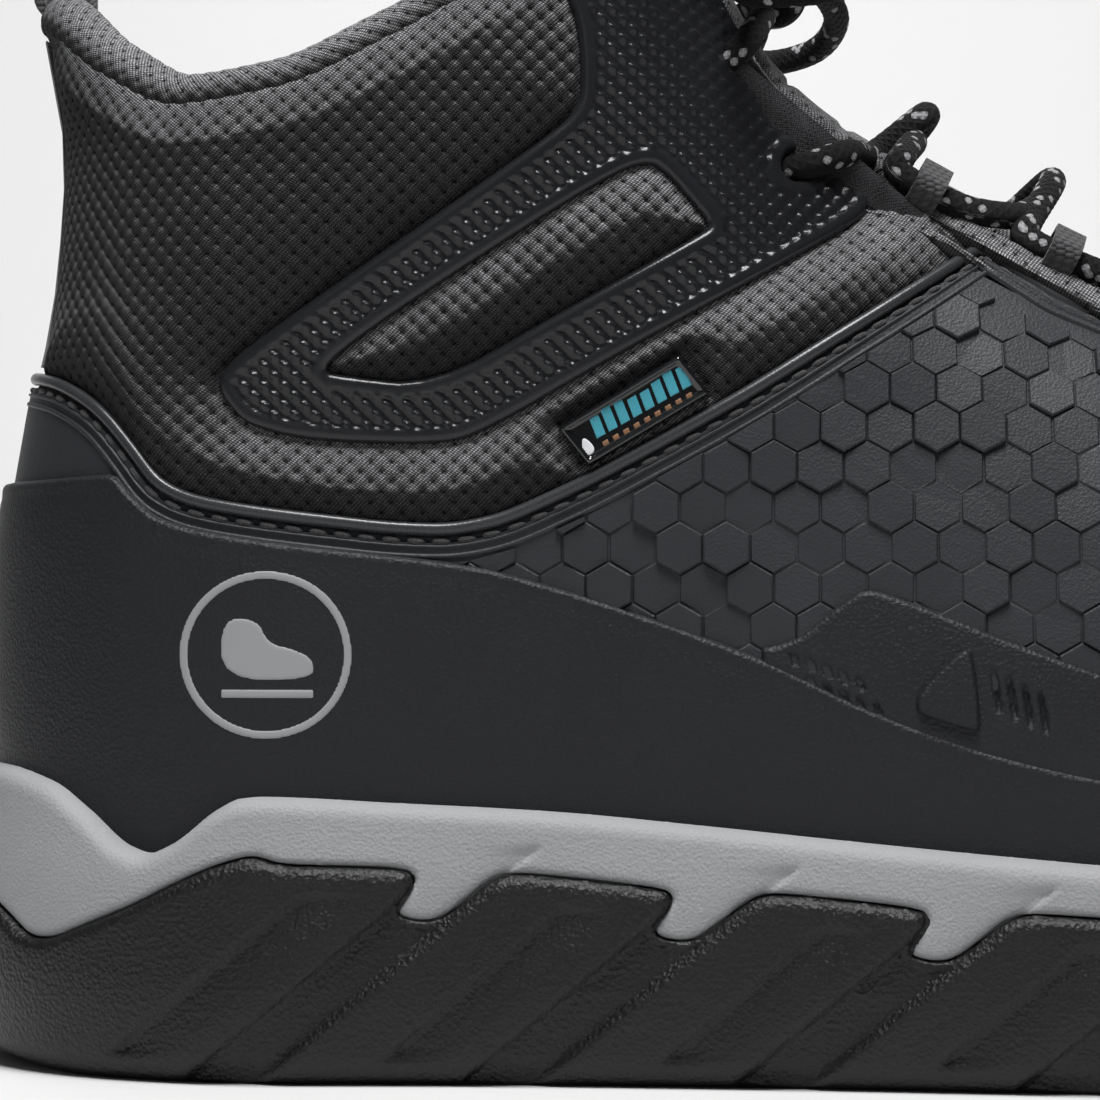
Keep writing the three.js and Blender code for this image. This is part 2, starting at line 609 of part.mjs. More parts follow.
// One end of the lace, from the middle of the lowest row to the knot. It starts on side which.
function laceHalf(which, crossing) {
  const points = [];
  const add = (p) => points.push(p.at);
  let here = which;
  const inLoop = loopLift + gap + loopThickness + laceRadius;
  const straight = loopWidth / 2 + 1.9;
  add(frontPoint(loopRows[0] - 0.36, here * 5, lowCrossing));
  loopRows.forEach((row) => {
    const unit = 1 / (frontReach(row) - frontReach(row + 1)); // rings per millimetre
    add(frontPoint(row - (straight + 3.4) * unit, here * (loopY - 3.2), inLoop + 0.6));
    add(frontPoint(row - straight * unit, here * loopY, inLoop));
    add(frontPoint(row + straight * unit, here * loopY, inLoop));
    add(frontPoint(row + (straight + 3.4) * unit, here * (loopY - 3.2), inLoop + 0.6));
    add(frontPoint(row + (straight + 6.6) * unit, 0, crossing));
    here = -here;
  });
  const [first, second] = holes;
  const underQuarter = padOuter - laceRadius + 0.1;
  add(sidePoint(first[0] + 6, first[1] + 0.6, here, strandLift));
  add(sidePoint(first[0] + 1.6, first[1] - 0.6, here, strandLift * 0.7));
  add(sidePoint(first[0], first[1], here, -0.7));
  add(sidePoint(first[0] - 1.6, first[1] + 2.6, here, underQuarter));
  add(sidePoint(second[0] + 2.4, second[1] - 3.4, here, underQuarter));
  add(sidePoint(second[0], second[1], here, -0.7));
  add(sidePoint(second[0] + 0.4, second[1] + 2.4, here, strandLift * 0.9));
  add(frontPoint(13.7, here * 13, 4.8));
  add(frontPoint(knotRing - 0.3, here * 7.5, 4.4));
  return points;
}

const lowCrossing = 2 + gap + laceRadius + 1.45;
const highCrossing = lowCrossing + 2 * laceRadius + gap + 0.5;
function lacePath() {
  const outer = laceHalf(-1, lowCrossing).reverse();
  return path([...outer, ...laceHalf(1, highCrossing)]);
}

function makeLoop(row, which) {
  const { at, normal } = frontPoint(row, which * loopY, 0);
  const ahead = frontPoint(row - 0.2, which * loopY, 0).at.sub(frontPoint(row + 0.2, which * loopY, 0).at);
  const along = ahead.sub(normal.clone().multiplyScalar(ahead.dot(normal))).normalize();
  const across = normal.clone().cross(along);
  const ring = roundedRect(2 * laceRadius + 2 * loopThickness + 2.3, loopHeight, 2.2);
  const inner = roundedRect(2 * laceRadius + 2.3, loopHeight - 2 * loopThickness, 1.5);
  ring.holes.push(inner);
  const geometry = new THREE.ExtrudeGeometry(ring,
    { depth: loopWidth, bevelEnabled: false, curveSegments: 2 });
  geometry.translate(0, loopHeight / 2 + loopLift, -loopWidth / 2);
  const frame = new THREE.Matrix4().makeBasis(across, normal, along);
  return toSolid(geometry.applyMatrix4(frame).translate(at.x, at.y, at.z));
}

function roundedRect(width, height, radius) {
  const [w, h] = [width / 2, height / 2];
  const shape = new THREE.Shape();
  shape.moveTo(-w + radius, -h);
  shape.lineTo(w - radius, -h);
  shape.absarc(w - radius, -h + radius, radius, -Math.PI / 2, 0);
  shape.lineTo(w, h - radius);
  shape.absarc(w - radius, h - radius, radius, 0, Math.PI / 2);
  shape.lineTo(-w + radius, h);
  shape.absarc(-w + radius, h - radius, radius, Math.PI / 2, Math.PI);
  shape.lineTo(-w, -h + radius);
  shape.absarc(-w + radius, -h + radius, radius, Math.PI, 1.5 * Math.PI);
  return shape;
}

const knotAt = frontPoint(knotRing, 0, knotLift).at;
const knotSize = [5.2, 6.6, 4.8];

function makeKnot() {
  const geometry = new THREE.SphereGeometry(1, 12, 8).scale(...knotSize);
  return toSolid(geometry.translate(knotAt.x, knotAt.y, knotAt.z));
}

// A place beside the knot: forward, to the lateral (-1) or medial (1) side, and up from its centre.
const fromKnot = (which, points) =>
  path(points.map(([x, y, z]) => knotAt.clone().add(new THREE.Vector3(x, which * y, z))));
const bow = (which) => fromKnot(which, [
  [2.4, 7.4, 3.2], [4.5, 16, 4.6], [6.5, 27, 0.4], [7, 36, -7.2], [4, 39.5, -11.3],
  [0.4, 36, -10.2], [-1, 27, -4.6], [0, 17, -1.6], [1.4, 8.8, -1.2],
]);
const hangingEnd = [[-2.6, 6.6, 3.8], [-5, 17, 5], [-8, 31, 1], [-9.5, 42, -12], [-10.5, 46.5, -34],
  [-11, 46, -58]];
const tuckedEnd = [[-2.6, 6.6, 3.8], [-9, 19, 8.5], [-20, 31, 13], [-31, 33, 11.5],
  [-37.5, 24.5, 3.5], [-40, 20, -14], [-41, 18.5, -32], [-41, 18, -48]];
const laceEnd = (which) => fromKnot(which, which > 0 ? hangingEnd : tuckedEnd);

function makeAglet(which) {
  const line = laceEnd(which);
  const end = line.getPoint(1);
  const away = line.getTangent(1);
  const from = end.clone().addScaledVector(away, gap);
  const to = from.clone().addScaledVector(away, aglet.length);
  return tube(new THREE.LineCurve3(from, to), aglet.radius, 1, 10);
}

// ---- trim ----
function makeTag() {
  const x = 99.2 * gradeX; // it lies along the bead
  const slope = Math.atan2(beadLine(x + 8) - beadLine(x - 8), 16);
  const z = beadLine(x) + (tagSize[1] / 2 + beadRadius + 0.8) / Math.cos(slope);
  const { at, normal } = sidePoint(x, z, -1, gap + 0.9);
  const along = new THREE.Vector3(Math.cos(slope), 0, Math.sin(slope));
  along.addScaledVector(normal, -along.dot(normal)).normalize();
  const up = normal.clone().cross(along);
  const geometry = new THREE.ExtrudeGeometry(roundedRect(tagSize[0], tagSize[1], 0.6), {
    depth: tagSize[2], bevelEnabled: false, curveSegments: 2,
  });
  return toSolid(geometry.applyMatrix4(new THREE.Matrix4().makeBasis(along, up, normal))
    .translate(at.x, at.y, at.z));
}

function makeHeelStrip() {
  const foot = beadLine(8 * gradeX) + beadRadius + gap + 0.4;
  const zone = boxCut(-reach, 26 * gradeX, -heelStripHalf, heelStripHalf, foot, reach);
  return layer(gap, gap + 0.9).intersect(zone).intersect(under(collarLine, -2, 40));
}

// A loop of webbing that stands on its two ends, seen from the side as a tall ring.
function pullLoop(x, z, lean) {
  const outer = roundedRect(8, pullHeight, 3.9);
  outer.holes.push(roundedRect(8 - 2 * pullThickness, pullHeight - 2 * pullThickness, 2.4));
  const geometry = new THREE.ExtrudeGeometry(outer,
    { depth: pullWidth, bevelEnabled: false, curveSegments: 3 });
  geometry.translate(0, pullHeight / 2, -pullWidth / 2).rotateX(Math.PI / 2)
    .rotateY(lean * THREE.MathUtils.DEG2RAD);
  return toSolid(geometry.translate(x, midline(x), z));
}

const heelPullX = heelBack(156 * gradeZ) + 2.4;
const heelPullBase = [heelPullX, collarLine(heelPullX) + 1.8];
const tongueTopX = frontReach(17.2) - 0.6;
const tonguePullBase = [tongueTopX, tongueTop(tongueTopX) + gap + 0.6];

// ---- assembly ----
const lace = lacePath();
const laceSteps = 80;
const laceSolid = tube(lace, laceRadius, laceSteps, 8);
const laceRoom = tube(lace, laceRadius + gap + 0.12, laceSteps, 8);
const clearOfLace = (solid) => solid.subtract(laceRoom);

const lateral = [-reach, -1];
const medial = [1, reach];
const mesh = makeMesh();
const inside = makeInside();
const bead = makeBead();

const looks = {
  black_rubber: ["#1b1c1e", 0.62, 0],
  grey_foam: ["#8f9093", 0.7, 0],
  moulded_shell: ["#33353a", 0.55, 0],
  smooth_rand: ["#2b2d30", 0.5, 0],
  bead_rubber: ["#6b6d71", 0.4, 0],
  black_mesh: ["#101013", 0.9, 0],
  overlay_film: ["#24262a", 0.45, 0],
  lace_yarn: ["#17181a", 0.85, 0],
  webbing: ["#1d1e20", 0.85, 0],
  lining: ["#232427", 0.95, 0],
  foam: ["#b9b29a", 0.95, 0],
  composite: ["#4a5a3f", 0.5, 0],
  board: ["#c9c2ae", 0.9, 0],
  shank_plate: ["#6d6f72", 0.4, 0.8],
  clear_tip: ["#0c0c0d", 0.25, 0],
  tag: ["#1a1d22", 0.3, 0],
};

const boot = new THREE.Group();
function piece(name, solid, look) {
  const [color, roughness, metalness] = looks[look];
  const material = new THREE.MeshStandardMaterial({ color, roughness, metalness });
  const made = new THREE.Mesh(toGeometry(solid), material);
  made.name = name;
  boot.add(made);
}

piece("outsole", makeOutsole(), "black_rubber");
piece("midsole", makeMidsole(), "grey_foam");
piece("shank", makeShank(), "shank_plate");
piece("lasting_board", makeBoard(), "board");
piece("footbed", makeFootbed(), "lining");
piece("heel_stiffener", makeStiffener(), "board");
const toe = makeToeParts();
piece("toe_cap", toe.toe_cap, "composite");
piece("toe_cap_edge_strip", toe.toe_cap_edge_strip, "foam");
piece("waterproof_bootie", inside.waterproof_bootie, "lining");
piece("collar_lining", inside.collar_lining, "lining");
piece("collar_foam", clearOfLace(inside.collar_foam), "foam");
for (const [name, solid] of Object.entries(mesh)) piece(name, clearOfLace(solid), "black_mesh");
piece("tongue", makeTongue(), "black_mesh");
piece("outer_shell", makeShell(), "moulded_shell");
piece("rand", makeRand(), "smooth_rand");
piece("shell_bead", bead, "bead_rubber");
piece("shell_stitching", makeThread(), "lace_yarn");
for (const [name, [y0, y1]] of [["lateral", lateral], ["medial", medial]]) {
  piece("support_band_" + name, makeBand(y0, y1), "smooth_rand");
  piece("band_badge_" + name, makeBadge(y0, y1), "smooth_rand");
  piece("side_overlay_" + name, clearOfLace(makeOverlay(y0, y1)), "overlay_film");
}
piece("side_tag", makeTag(), "tag");
piece("heel_strip", makeHeelStrip(), "webbing");
piece("heel_pull_loop", pullLoop(...heelPullBase, 0), "webbing");
piece("tongue_pull_loop", pullLoop(...tonguePullBase, 0), "webbing");
loopRows.forEach((row, i) => {
  piece("lace_loop_lateral_" + (i + 1), makeLoop(row, -1), "webbing");
  piece("lace_loop_medial_" + (i + 1), makeLoop(row, 1), "webbing");
});
piece("lace", laceSolid, "lace_yarn");
piece("lace_knot", makeKnot(), "lace_yarn");
for (const [name, which] of [["lateral", -1], ["medial", 1]]) {
  piece("bow_loop_" + name, tube(bow(which), laceRadius, 16, 8), "lace_yarn");
  piece("lace_end_" + name, tube(laceEnd(which), laceRadius, 12, 8), "lace_yarn");
  piece("aglet_" + name, makeAglet(which), "clear_tip");
}

// The origin is on the floor, in the middle of the boot's length and width.
const extent = new THREE.Box3().setFromObject(boot);
const centre = extent.getCenter(new THREE.Vector3());
for (const made of boot.children) made.geometry.translate(-centre.x, -centre.y, -extent.min.z);

export default boot;
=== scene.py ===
import math

import bpy
import numpy as np
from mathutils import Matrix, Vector


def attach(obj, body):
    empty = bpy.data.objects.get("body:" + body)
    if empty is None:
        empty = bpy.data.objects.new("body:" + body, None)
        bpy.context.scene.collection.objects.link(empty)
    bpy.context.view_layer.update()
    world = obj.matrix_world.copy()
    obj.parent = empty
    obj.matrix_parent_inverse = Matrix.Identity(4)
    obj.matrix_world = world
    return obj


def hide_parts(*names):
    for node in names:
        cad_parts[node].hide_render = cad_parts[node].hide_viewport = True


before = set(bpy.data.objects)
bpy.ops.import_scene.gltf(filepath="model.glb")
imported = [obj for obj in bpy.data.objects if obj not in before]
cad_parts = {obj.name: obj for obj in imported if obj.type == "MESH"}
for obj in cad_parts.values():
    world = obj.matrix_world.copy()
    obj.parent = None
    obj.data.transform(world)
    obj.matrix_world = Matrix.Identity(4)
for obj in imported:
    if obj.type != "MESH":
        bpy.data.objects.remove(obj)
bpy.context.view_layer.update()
chance = np.random.default_rng(11)
bootCentre = np.array([155.95, 2.9, 0.0])
sides = ((-1, "lateral"), (1, "medial"))


def curve(points):
    # A smooth rule through points that never overshoots them.
    xs, ys = np.array(points, float).T
    slope = np.diff(ys) / np.diff(xs)
    before, after = np.r_[slope[:1], slope], np.r_[slope, slope[-1:]]
    level = before * after > 0
    tangent = np.where(level, 2 * before * after / np.where(level, before + after, 1), 0)

    def at(x):
        x = np.clip(np.asarray(x, float), xs[0], xs[-1])
        i = np.clip(np.searchsorted(xs, x, side="right") - 1, 0, len(slope) - 1)
        width = xs[i + 1] - xs[i]
        u = (x - xs[i]) / width
        return (
            ys[i] * (1 + 2 * u) * (1 - u) ** 2
            + tangent[i] * width * u * (1 - u) ** 2
            + ys[i + 1] * u * u * (3 - 2 * u)
            + tangent[i + 1] * width * u * u * (u - 1)
        )

    return at


ridge = curve([
    (30, 700), (60, 400), (80, 285), (95, 214), (104, 181), (108, 170), (112.5, 160), (118.5, 150),
    (126.5, 142), (137, 135), (151, 127.5), (168, 118.5), (190, 106.5), (212, 96), (235, 88.5),
    (255, 84), (270, 80.2), (283, 75), (294, 68), (301.5, 60), (305.5, 52), (307, 45),
])
heelBack = curve([
    (20, 8), (35, 6), (55, 5), (75, 5.6), (95, 8.5), (115, 12.5), (135, 14), (150, 12), (165, 8.5), (200, 4),
])
girth = curve([
    (0, 35.5), (60, 35.5), (90, 35.2), (120, 37), (150, 40.5), (185, 45.5), (215, 48.6), (230, 49), (320, 49),
])
ankleBulge = curve([(20, 0.93), (45, 1), (90, 1), (110, 1.05), (130, 1.1), (150, 1.13), (190, 1.13)])
bulgeFade = curve([(110, 1), (160, 0)])
roofPower = curve([(0, 2.4), (110, 2.3), (150, 2), (200, 2.1), (240, 2.5), (310, 2.6)])
midline = curve([(0, 0), (60, 0), (110, -2.5), (150, -3), (190, -0.5), (230, 3), (270, 6.5), (307, 9)])
featherLine = curve([(4, 29.5), (60, 30), (130, 26), (180, 21.5), (215, 20), (255, 21), (285, 24), (305, 27)])
groundLine = curve([(-6, 3.2), (22, 0), (222, 0), (262, 2.6), (295, 8), (320, 13)])
beadLine = curve([
    (-15, 103), (5, 102.6), (14, 100.9), (19, 98.6), (22.9, 95.6), (27, 90.8), (31.2, 85.6), (36, 83.3),
    (43.8, 81.8), (55.7, 80.3), (65.7, 79.3), (71.5, 79.1), (78, 80), (87.1, 83.5), (111.7, 96.5),
    (128.1, 106.4), (151.4, 120.7), (190, 146), (340, 240),
])
randLine = curve([
    (-15, 85), (15, 86.4), (24.5, 87), (27.4, 84.2), (31.2, 81), (36, 79.4), (45.9, 77.6), (61, 75.8),
    (76.1, 73.9), (87.1, 71.1), (98.6, 67.5), (117.5, 60.6), (133.2, 53.4), (151.4, 47.2), (172, 43),
    (198, 40.5), (225, 42), (250, 47), (272, 54), (292, 60), (340, 62),
])
bandLine = curve([
    (114, 62), (117.1, 62.2), (121.4, 63.2), (128.5, 68.3), (132.3, 70.3), (138, 68.7), (151.4, 63.4),
    (172, 56), (196, 48), (214, 41),
])
collarLine = curve([
    (-15, 161), (5, 158.5), (12, 155), (22, 146.5), (34, 140.8), (48, 142.5), (65, 150), (80, 158.5),
    (95, 166), (106, 171), (140, 174),
])
midsoleLine = curve([
    (-10, 44), (5, 43.4), (13, 41.5), (19, 37.6), (25.4, 32.5), (28.6, 31.6), (32.5, 33.1), (39.3, 38.2),
    (42.6, 39.7), (46, 40), (65.7, 39.1), (87.1, 38), (108.6, 36.1), (130, 34), (151.4, 32.1), (180, 30),
    (212, 29), (240, 31), (268, 35), (293, 40), (330, 43.5),
])
wallHeight, heelRound, toeStart, toePower = 45, 48, 225, 2.35
throatX, throatHalf, beadHalf = 205, 12, 20.8
throatMid = float(midline(164))
layers = {"shell": 1.8, "rand": 3.15, "band": 2.95, "overlay": 1.3}  # how far each stands off the surface


def halfWidth(x, z):
    fromHeel = x - heelBack(z)
    heel = np.sqrt(np.clip(1 - np.clip(1 - fromHeel / heelRound, 0, 1) ** 2, 0, 1))
    tip = 307 - 4 * (np.clip(wallHeight - z, 0, None) / 21) ** 2
    toward = np.clip((x - toeStart) / (tip - toeStart), 0, 1)
    toe = (1 - toward ** toePower) ** (1 / toePower)
    rise = np.clip((z - wallHeight) / (ridge(x) - wallHeight), 0, 1)
    power = roofPower(x)
    roof = (1 - rise ** power) ** (1 / power)
    bulge = 1 + (ankleBulge(z) - 1) * bulgeFade(x)
    return np.where(fromHeel > 0, girth(x) * bulge * heel * toe * roof, 0)


backHeight = curve([
    (0, 29.5), (2, 45), (4, 62), (6, 76), (8, 91), (10, 107), (12, 123), (14, 140), (16, 160), (18, 184),
])
frontReach = curve([
    (2, 307), (3, 303.8), (4, 296), (5, 283), (6, 265), (7, 240), (8, 215), (9, 192), (10, 170), (11, 150),
    (12, 134), (13, 122), (14, 114.5), (15, 109.5), (16, 106), (17, 102.5), (18, 99),
])
toeHeight = curve([(0, 27), (1, 35), (2, 45)])


# Rings round the boot from the feather edge (q 0) to above the collar (q 18); t 0 is the back of
# the heel, pi the front, and the lateral side lies between them.
def ringPoint(q, t):
    q, t = np.broadcast_arrays(np.asarray(q, float), np.asarray(t, float))
    zBack = backHeight(q)
    xBack = heelBack(zBack)
    low = q < 2
    zFront = np.where(low, toeHeight(q), ridge(frontReach(q)))
    tip = 307 - 4 * (np.clip(wallHeight - zFront, 0, None) / 21) ** 2
    xFront = np.where(low, tip, frontReach(q))
    u = (1 - np.cos(t)) / 2
    x = xBack + (xFront - xBack) * u
    sag = featherLine(x) - (29.5 + (27 - 29.5) * u)
    z = zBack + (zFront - zBack) * u + sag * np.clip(1 - q / 4, 0, None)
    return np.stack([x, midline(x) - np.sign(np.sin(t)) * halfWidth(x, z), z], -1)


def unit(v):
    return v / np.maximum(np.linalg.norm(v, axis=-1, keepdims=True), 1e-9)


def runAlong(points):
    # Distance along a line at each of its points.
    return np.r_[0, np.cumsum(np.linalg.norm(np.diff(points, axis=0), axis=-1))]


def readAt(spots, run, values):
    return np.stack([np.interp(spots, run, values[:, k]) for k in range(3)], -1)


def averaged(values, reach):
    # Each row blended with its neighbours.
    window = np.hanning(2 * reach + 1)
    padded = np.concatenate([values[:1].repeat(reach, 0), values, values[-1:].repeat(reach, 0)])
    return np.stack([np.convolve(padded[:, k], window / window.sum(), "valid") for k in range(3)], -1)


def ringNormal(q, t):
    along = ringPoint(q, t + 0.02) - ringPoint(q, t - 0.02)
    up = ringPoint(np.minimum(q + 0.1, 18), t) - ringPoint(np.maximum(q - 0.1, 0), t)
    return unit(np.cross(along, up))


# Side coordinates: u is x along the side, and runs on round the heel behind wrapX.
wrapX, heelArc = 40, 53.0


def sideAngle(x, z):
    return np.arccos(np.clip(1 - (x - heelBack(z)) / heelRound, -1, 1))


def sideU(x, z):
    behind = wrapX - heelArc * (1 - sideAngle(x, z) / sideAngle(wrapX, z))
    return np.where(x >= wrapX, x, behind)


def sideX(u, z):
    angle = sideAngle(wrapX, z) * (1 - (wrapX - u) / heelArc)
    return np.where(u >= wrapX, u, heelBack(z) + heelRound * (1 - np.cos(angle)))


def sidePoint(u, z, which):
    u, z = np.broadcast_arrays(np.asarray(u, float), np.asarray(z, float))
    x = sideX(u, z)
    past = np.where(u < wrapX - heelArc, -1, 1)
    return np.stack([x, midline(x) + which * past * halfWidth(x, z), z], -1)


def sideLift(u, z, which, lift):
    u, z = np.asarray(u, float), np.asarray(z, float)
    along = sidePoint(u + 0.2, z, which) - sidePoint(u - 0.2, z, which)
    up = sidePoint(u, z + 0.2, which) - sidePoint(u, z - 0.2, which)
    normal = unit(np.cross(along, up)) * -which
    return sidePoint(u, z, which) + normal * np.asarray(lift, float)[..., None]


def makeMesh(name, points, faces, uv=None, smooth=True):
    mesh = bpy.data.meshes.new(name)
    points = (np.asarray(points, float).reshape(-1, 3) - bootCentre) / 1000
    groups = [np.asarray(f, np.int32) for f in faces if len(f)]
    mesh.vertices.add(len(points))
    mesh.vertices.foreach_set("co", points.astype(np.float32).ravel())
    loops = np.concatenate([g.ravel() for g in groups])
    starts, total = [], 0
    for g in groups:
        starts.append(total + np.arange(len(g), dtype=np.int32) * g.shape[1])
        total += g.size
    mesh.loops.add(total)
    mesh.loops.foreach_set("vertex_index", loops)
    mesh.polygons.add(sum(len(g) for g in groups))
    mesh.polygons.foreach_set("loop_start", np.concatenate(starts).astype(np.int32))
    mesh.update(calc_edges=True)
    if uv is not None:
        layer = mesh.uv_layers.new(name="surface")
        layer.data.foreach_set("uv", (np.asarray(uv, float)[loops] / 100).astype(np.float32).ravel())
    mesh.polygons.foreach_set("use_smooth", np.full(len(mesh.polygons), smooth))
    mesh.validate()
    made = bpy.data.objects.new(name, mesh)
    bpy.context.scene.collection.objects.link(made)
    return made


def gridFaces(rows, columns, closed=False, offset=0):
    index = np.arange(rows * columns).reshape(rows, columns) + offset
    if closed:
        index = np.concatenate([index, index[:, :1]], 1)
    a, b, c, d = index[:-1, :-1], index[:-1, 1:], index[1:, 1:], index[1:, :-1]
    return np.stack([a, b, c, d], -1).reshape(-1, 4)


class Shape:
    # Collects points and faces of one piece that is made of several patches.
    def __init__(self):
        self.points, self.uv, self.faces, self.count = [], [], [], 0

    def add(self, points, faces, uv=None):
        points = np.asarray(points, float).reshape(-1, 3)
        uv = np.zeros((len(points), 2)) if uv is None else np.asarray(uv, float).reshape(-1, 2)
        self.points.append(points)
        self.uv.append(uv)
        self.faces += [np.asarray(f, np.int32) + self.count for f in faces if len(f)]
        self.count += len(points)

    def grid(self, points, uv=None, closed=False, flip=False):
        faces = gridFaces(points.shape[0], points.shape[1], closed)
        self.add(points, [faces[:, ::-1] if flip else faces], uv)

    def make(self, name, smooth=True):
        sizes = {}
        for f in self.faces:
            sizes.setdefault(f.shape[1], []).append(f)
        faces = [np.concatenate(f) for f in sizes.values()]
        return makeMesh(name, np.concatenate(self.points), faces, np.concatenate(self.uv), smooth)


def softened(points, turns=2, closed=True):
    # Cuts the corners of an outline.
    points = np.asarray(points, float)
    for _ in range(turns):
        ahead = np.roll(points, -1, 0)
        points = np.stack([0.75 * points + 0.25 * ahead, 0.25 * points + 0.75 * ahead], 1).reshape(-1, 2)
        points = points if closed else points[:-2]
    return points


def inside(outline):
    # Signed distance to a closed outline, positive inside.
    a = np.asarray(outline, float)
    b = np.roll(a, -1, 0)

    def distance(u, z):
        shape = np.shape(u)
        u, z = np.ravel(u), np.ravel(z)
        near, within = np.full(len(u), 1e9), np.zeros(len(u), bool)
        for (ax, az), (bx, bz) in zip(a, b):
            dx, dz = bx - ax, bz - az
            k = np.clip(((u - ax) * dx + (z - az) * dz) / max(dx * dx + dz * dz, 1e-9), 0, 1)
            near = np.minimum(near, (u - ax - k * dx) ** 2 + (z - az - k * dz) ** 2)
            if az != bz:
                within ^= ((az > z) != (bz > z)) & (u < ax + (z - az) * dx / dz)
        return (np.sqrt(near) * np.where(within, 1, -1)).reshape(shape)

    return distance


def fieldPatch(field, low, high, step):
    # The part of a rectangle where a field is positive, as squares with a trimmed edge.
    us = np.arange(low[0], high[0] + step, step)
    zs = np.arange(low[1], high[1] + step, step)
    u, z = np.meshgrid(us, zs, indexing="ij")
    d = field(u, z)
    d = np.where(np.abs(d) < 0.04 * step, 0.04 * step, d)
    keep = d > 0
    number = np.full(d.shape, -1)
    number[keep] = np.arange(keep.sum())
    points = list(np.stack([u[keep], z[keep]], -1))
    corners = keep[:-1, :-1].astype(int) + keep[1:, :-1] + keep[1:, 1:] + keep[:-1, 1:]
    i, j = np.nonzero(corners == 4)
    quads = np.stack([number[i, j], number[i + 1, j], number[i + 1, j + 1], number[i, j + 1]], -1)
    cut, rim, crossings = {3: [], 4: [], 5: []}, [], {}

    def crossing(p, q):
        key = (min(p, q), max(p, q))
        if key not in crossings:
            k = d[p] / (d[p] - d[q])
            crossings[key] = len(points)
            points.append(np.array([u[p] + k * (u[q] - u[p]), z[p] + k * (z[q] - z[p])]))
        return crossings[key]

    for i, j in zip(*np.nonzero((corners > 0) & (corners < 4))):
        loop = [(i, j), (i + 1, j), (i + 1, j + 1), (i, j + 1)]
        face, edge = [], []
        for p, q in zip(loop, loop[1:] + loop[:1]):
            if keep[p]:
                face.append(number[p])
            if keep[p] != keep[q]:
                edge.append((crossing(p, q), bool(keep[p])))
                face.append(edge[-1][0])
        if len(edge) == 2:
            (first, leaves), (second, _) = edge
            rim.append((first, second) if leaves else (second, first))
            if 3 <= len(face) <= 5:
                cut[len(face)].append(face)
    return np.array(points), [quads, *[np.array(c, int).reshape(-1, n) for n, c in cut.items()]], rim


def addPatch(shape, flat, faces, rim, which, place, lift, depth):
    # Lays a flat patch on a surface and closes it with a wall round its rim.
    rim = np.array(rim)
    used, spot = np.unique(rim, return_inverse=True)
    spot = spot.reshape(rim.shape) + len(flat)
    faces = [*faces, np.stack([rim[:, 1], rim[:, 0], spot[:, 0], spot[:, 1]], -1)]
    flat = np.concatenate([flat, flat[used]])
    lift = np.concatenate([lift, lift[used] - depth])
    faces = [f[:, ::-1] for f in faces] if which > 0 else faces
    shape.add(place(flat[:, 0], flat[:, 1], which, lift), faces, flat)


def sidePatch(shape, outline, which, base, height, step, roundness, depth, relief=None, margin=1.0):
    # A raised piece with a rounded rim, drawn in side view and laid on the upper.
    field = outline if callable(outline) else inside(outline)
    box = np.array(outline.box if callable(outline) else [outline.min(0), outline.max(0)])
    flat, faces, rim = fieldPatch(field, box[0] - margin, box[1] + margin, step)
    near = np.clip(field(flat[:, 0], flat[:, 1]), 0, None)
    edge = np.sqrt(1 - (1 - np.clip(near / roundness, 0, 1)) ** 2)
    lift = base + height * edge
    if relief is not None:
        lift = lift + relief(flat[:, 0], flat[:, 1], near)
    flat[:, 0] = sideU(flat[:, 0], flat[:, 1])
    addPatch(shape, flat, faces, rim, which, sideLift, lift, depth)


class Wire:
    # One socket, so that shader maths reads as arithmetic.
    def __init__(self, look, socket):
        self.look, self.socket = look, socket

    def maths(self, operation, *others):
        return self.look.node("ShaderNodeMath", {"operation": operation}, others)

    def __add__(self, other):
        return self.maths("ADD", self, other)

    def __sub__(self, other):
        return self.maths("SUBTRACT", self, other)

    def __rsub__(self, other):
        return self.maths("SUBTRACT", other, self)

    def __mul__(self, other):
        return self.maths("MULTIPLY", self, other)

    def __truediv__(self, other):
        return self.maths("DIVIDE", self, other)

    def __rtruediv__(self, other):
        return self.maths("DIVIDE", other, self)

    __radd__ = __add__
    __rmul__ = __mul__

    def above(self, edge):
        return self.maths("GREATER_THAN", self, edge)

    def fraction(self):
        return self.maths("FRACT", self)

    def whole(self):
        return self.maths("FLOOR", self)

    def size(self):
        return self.maths("ABSOLUTE", self)

    def sine(self):
        return self.maths("SINE", self)

    def least(self, other):
        return self.maths("MINIMUM", self, other)

    def most(self, other):
        return self.maths("MAXIMUM", self, other)


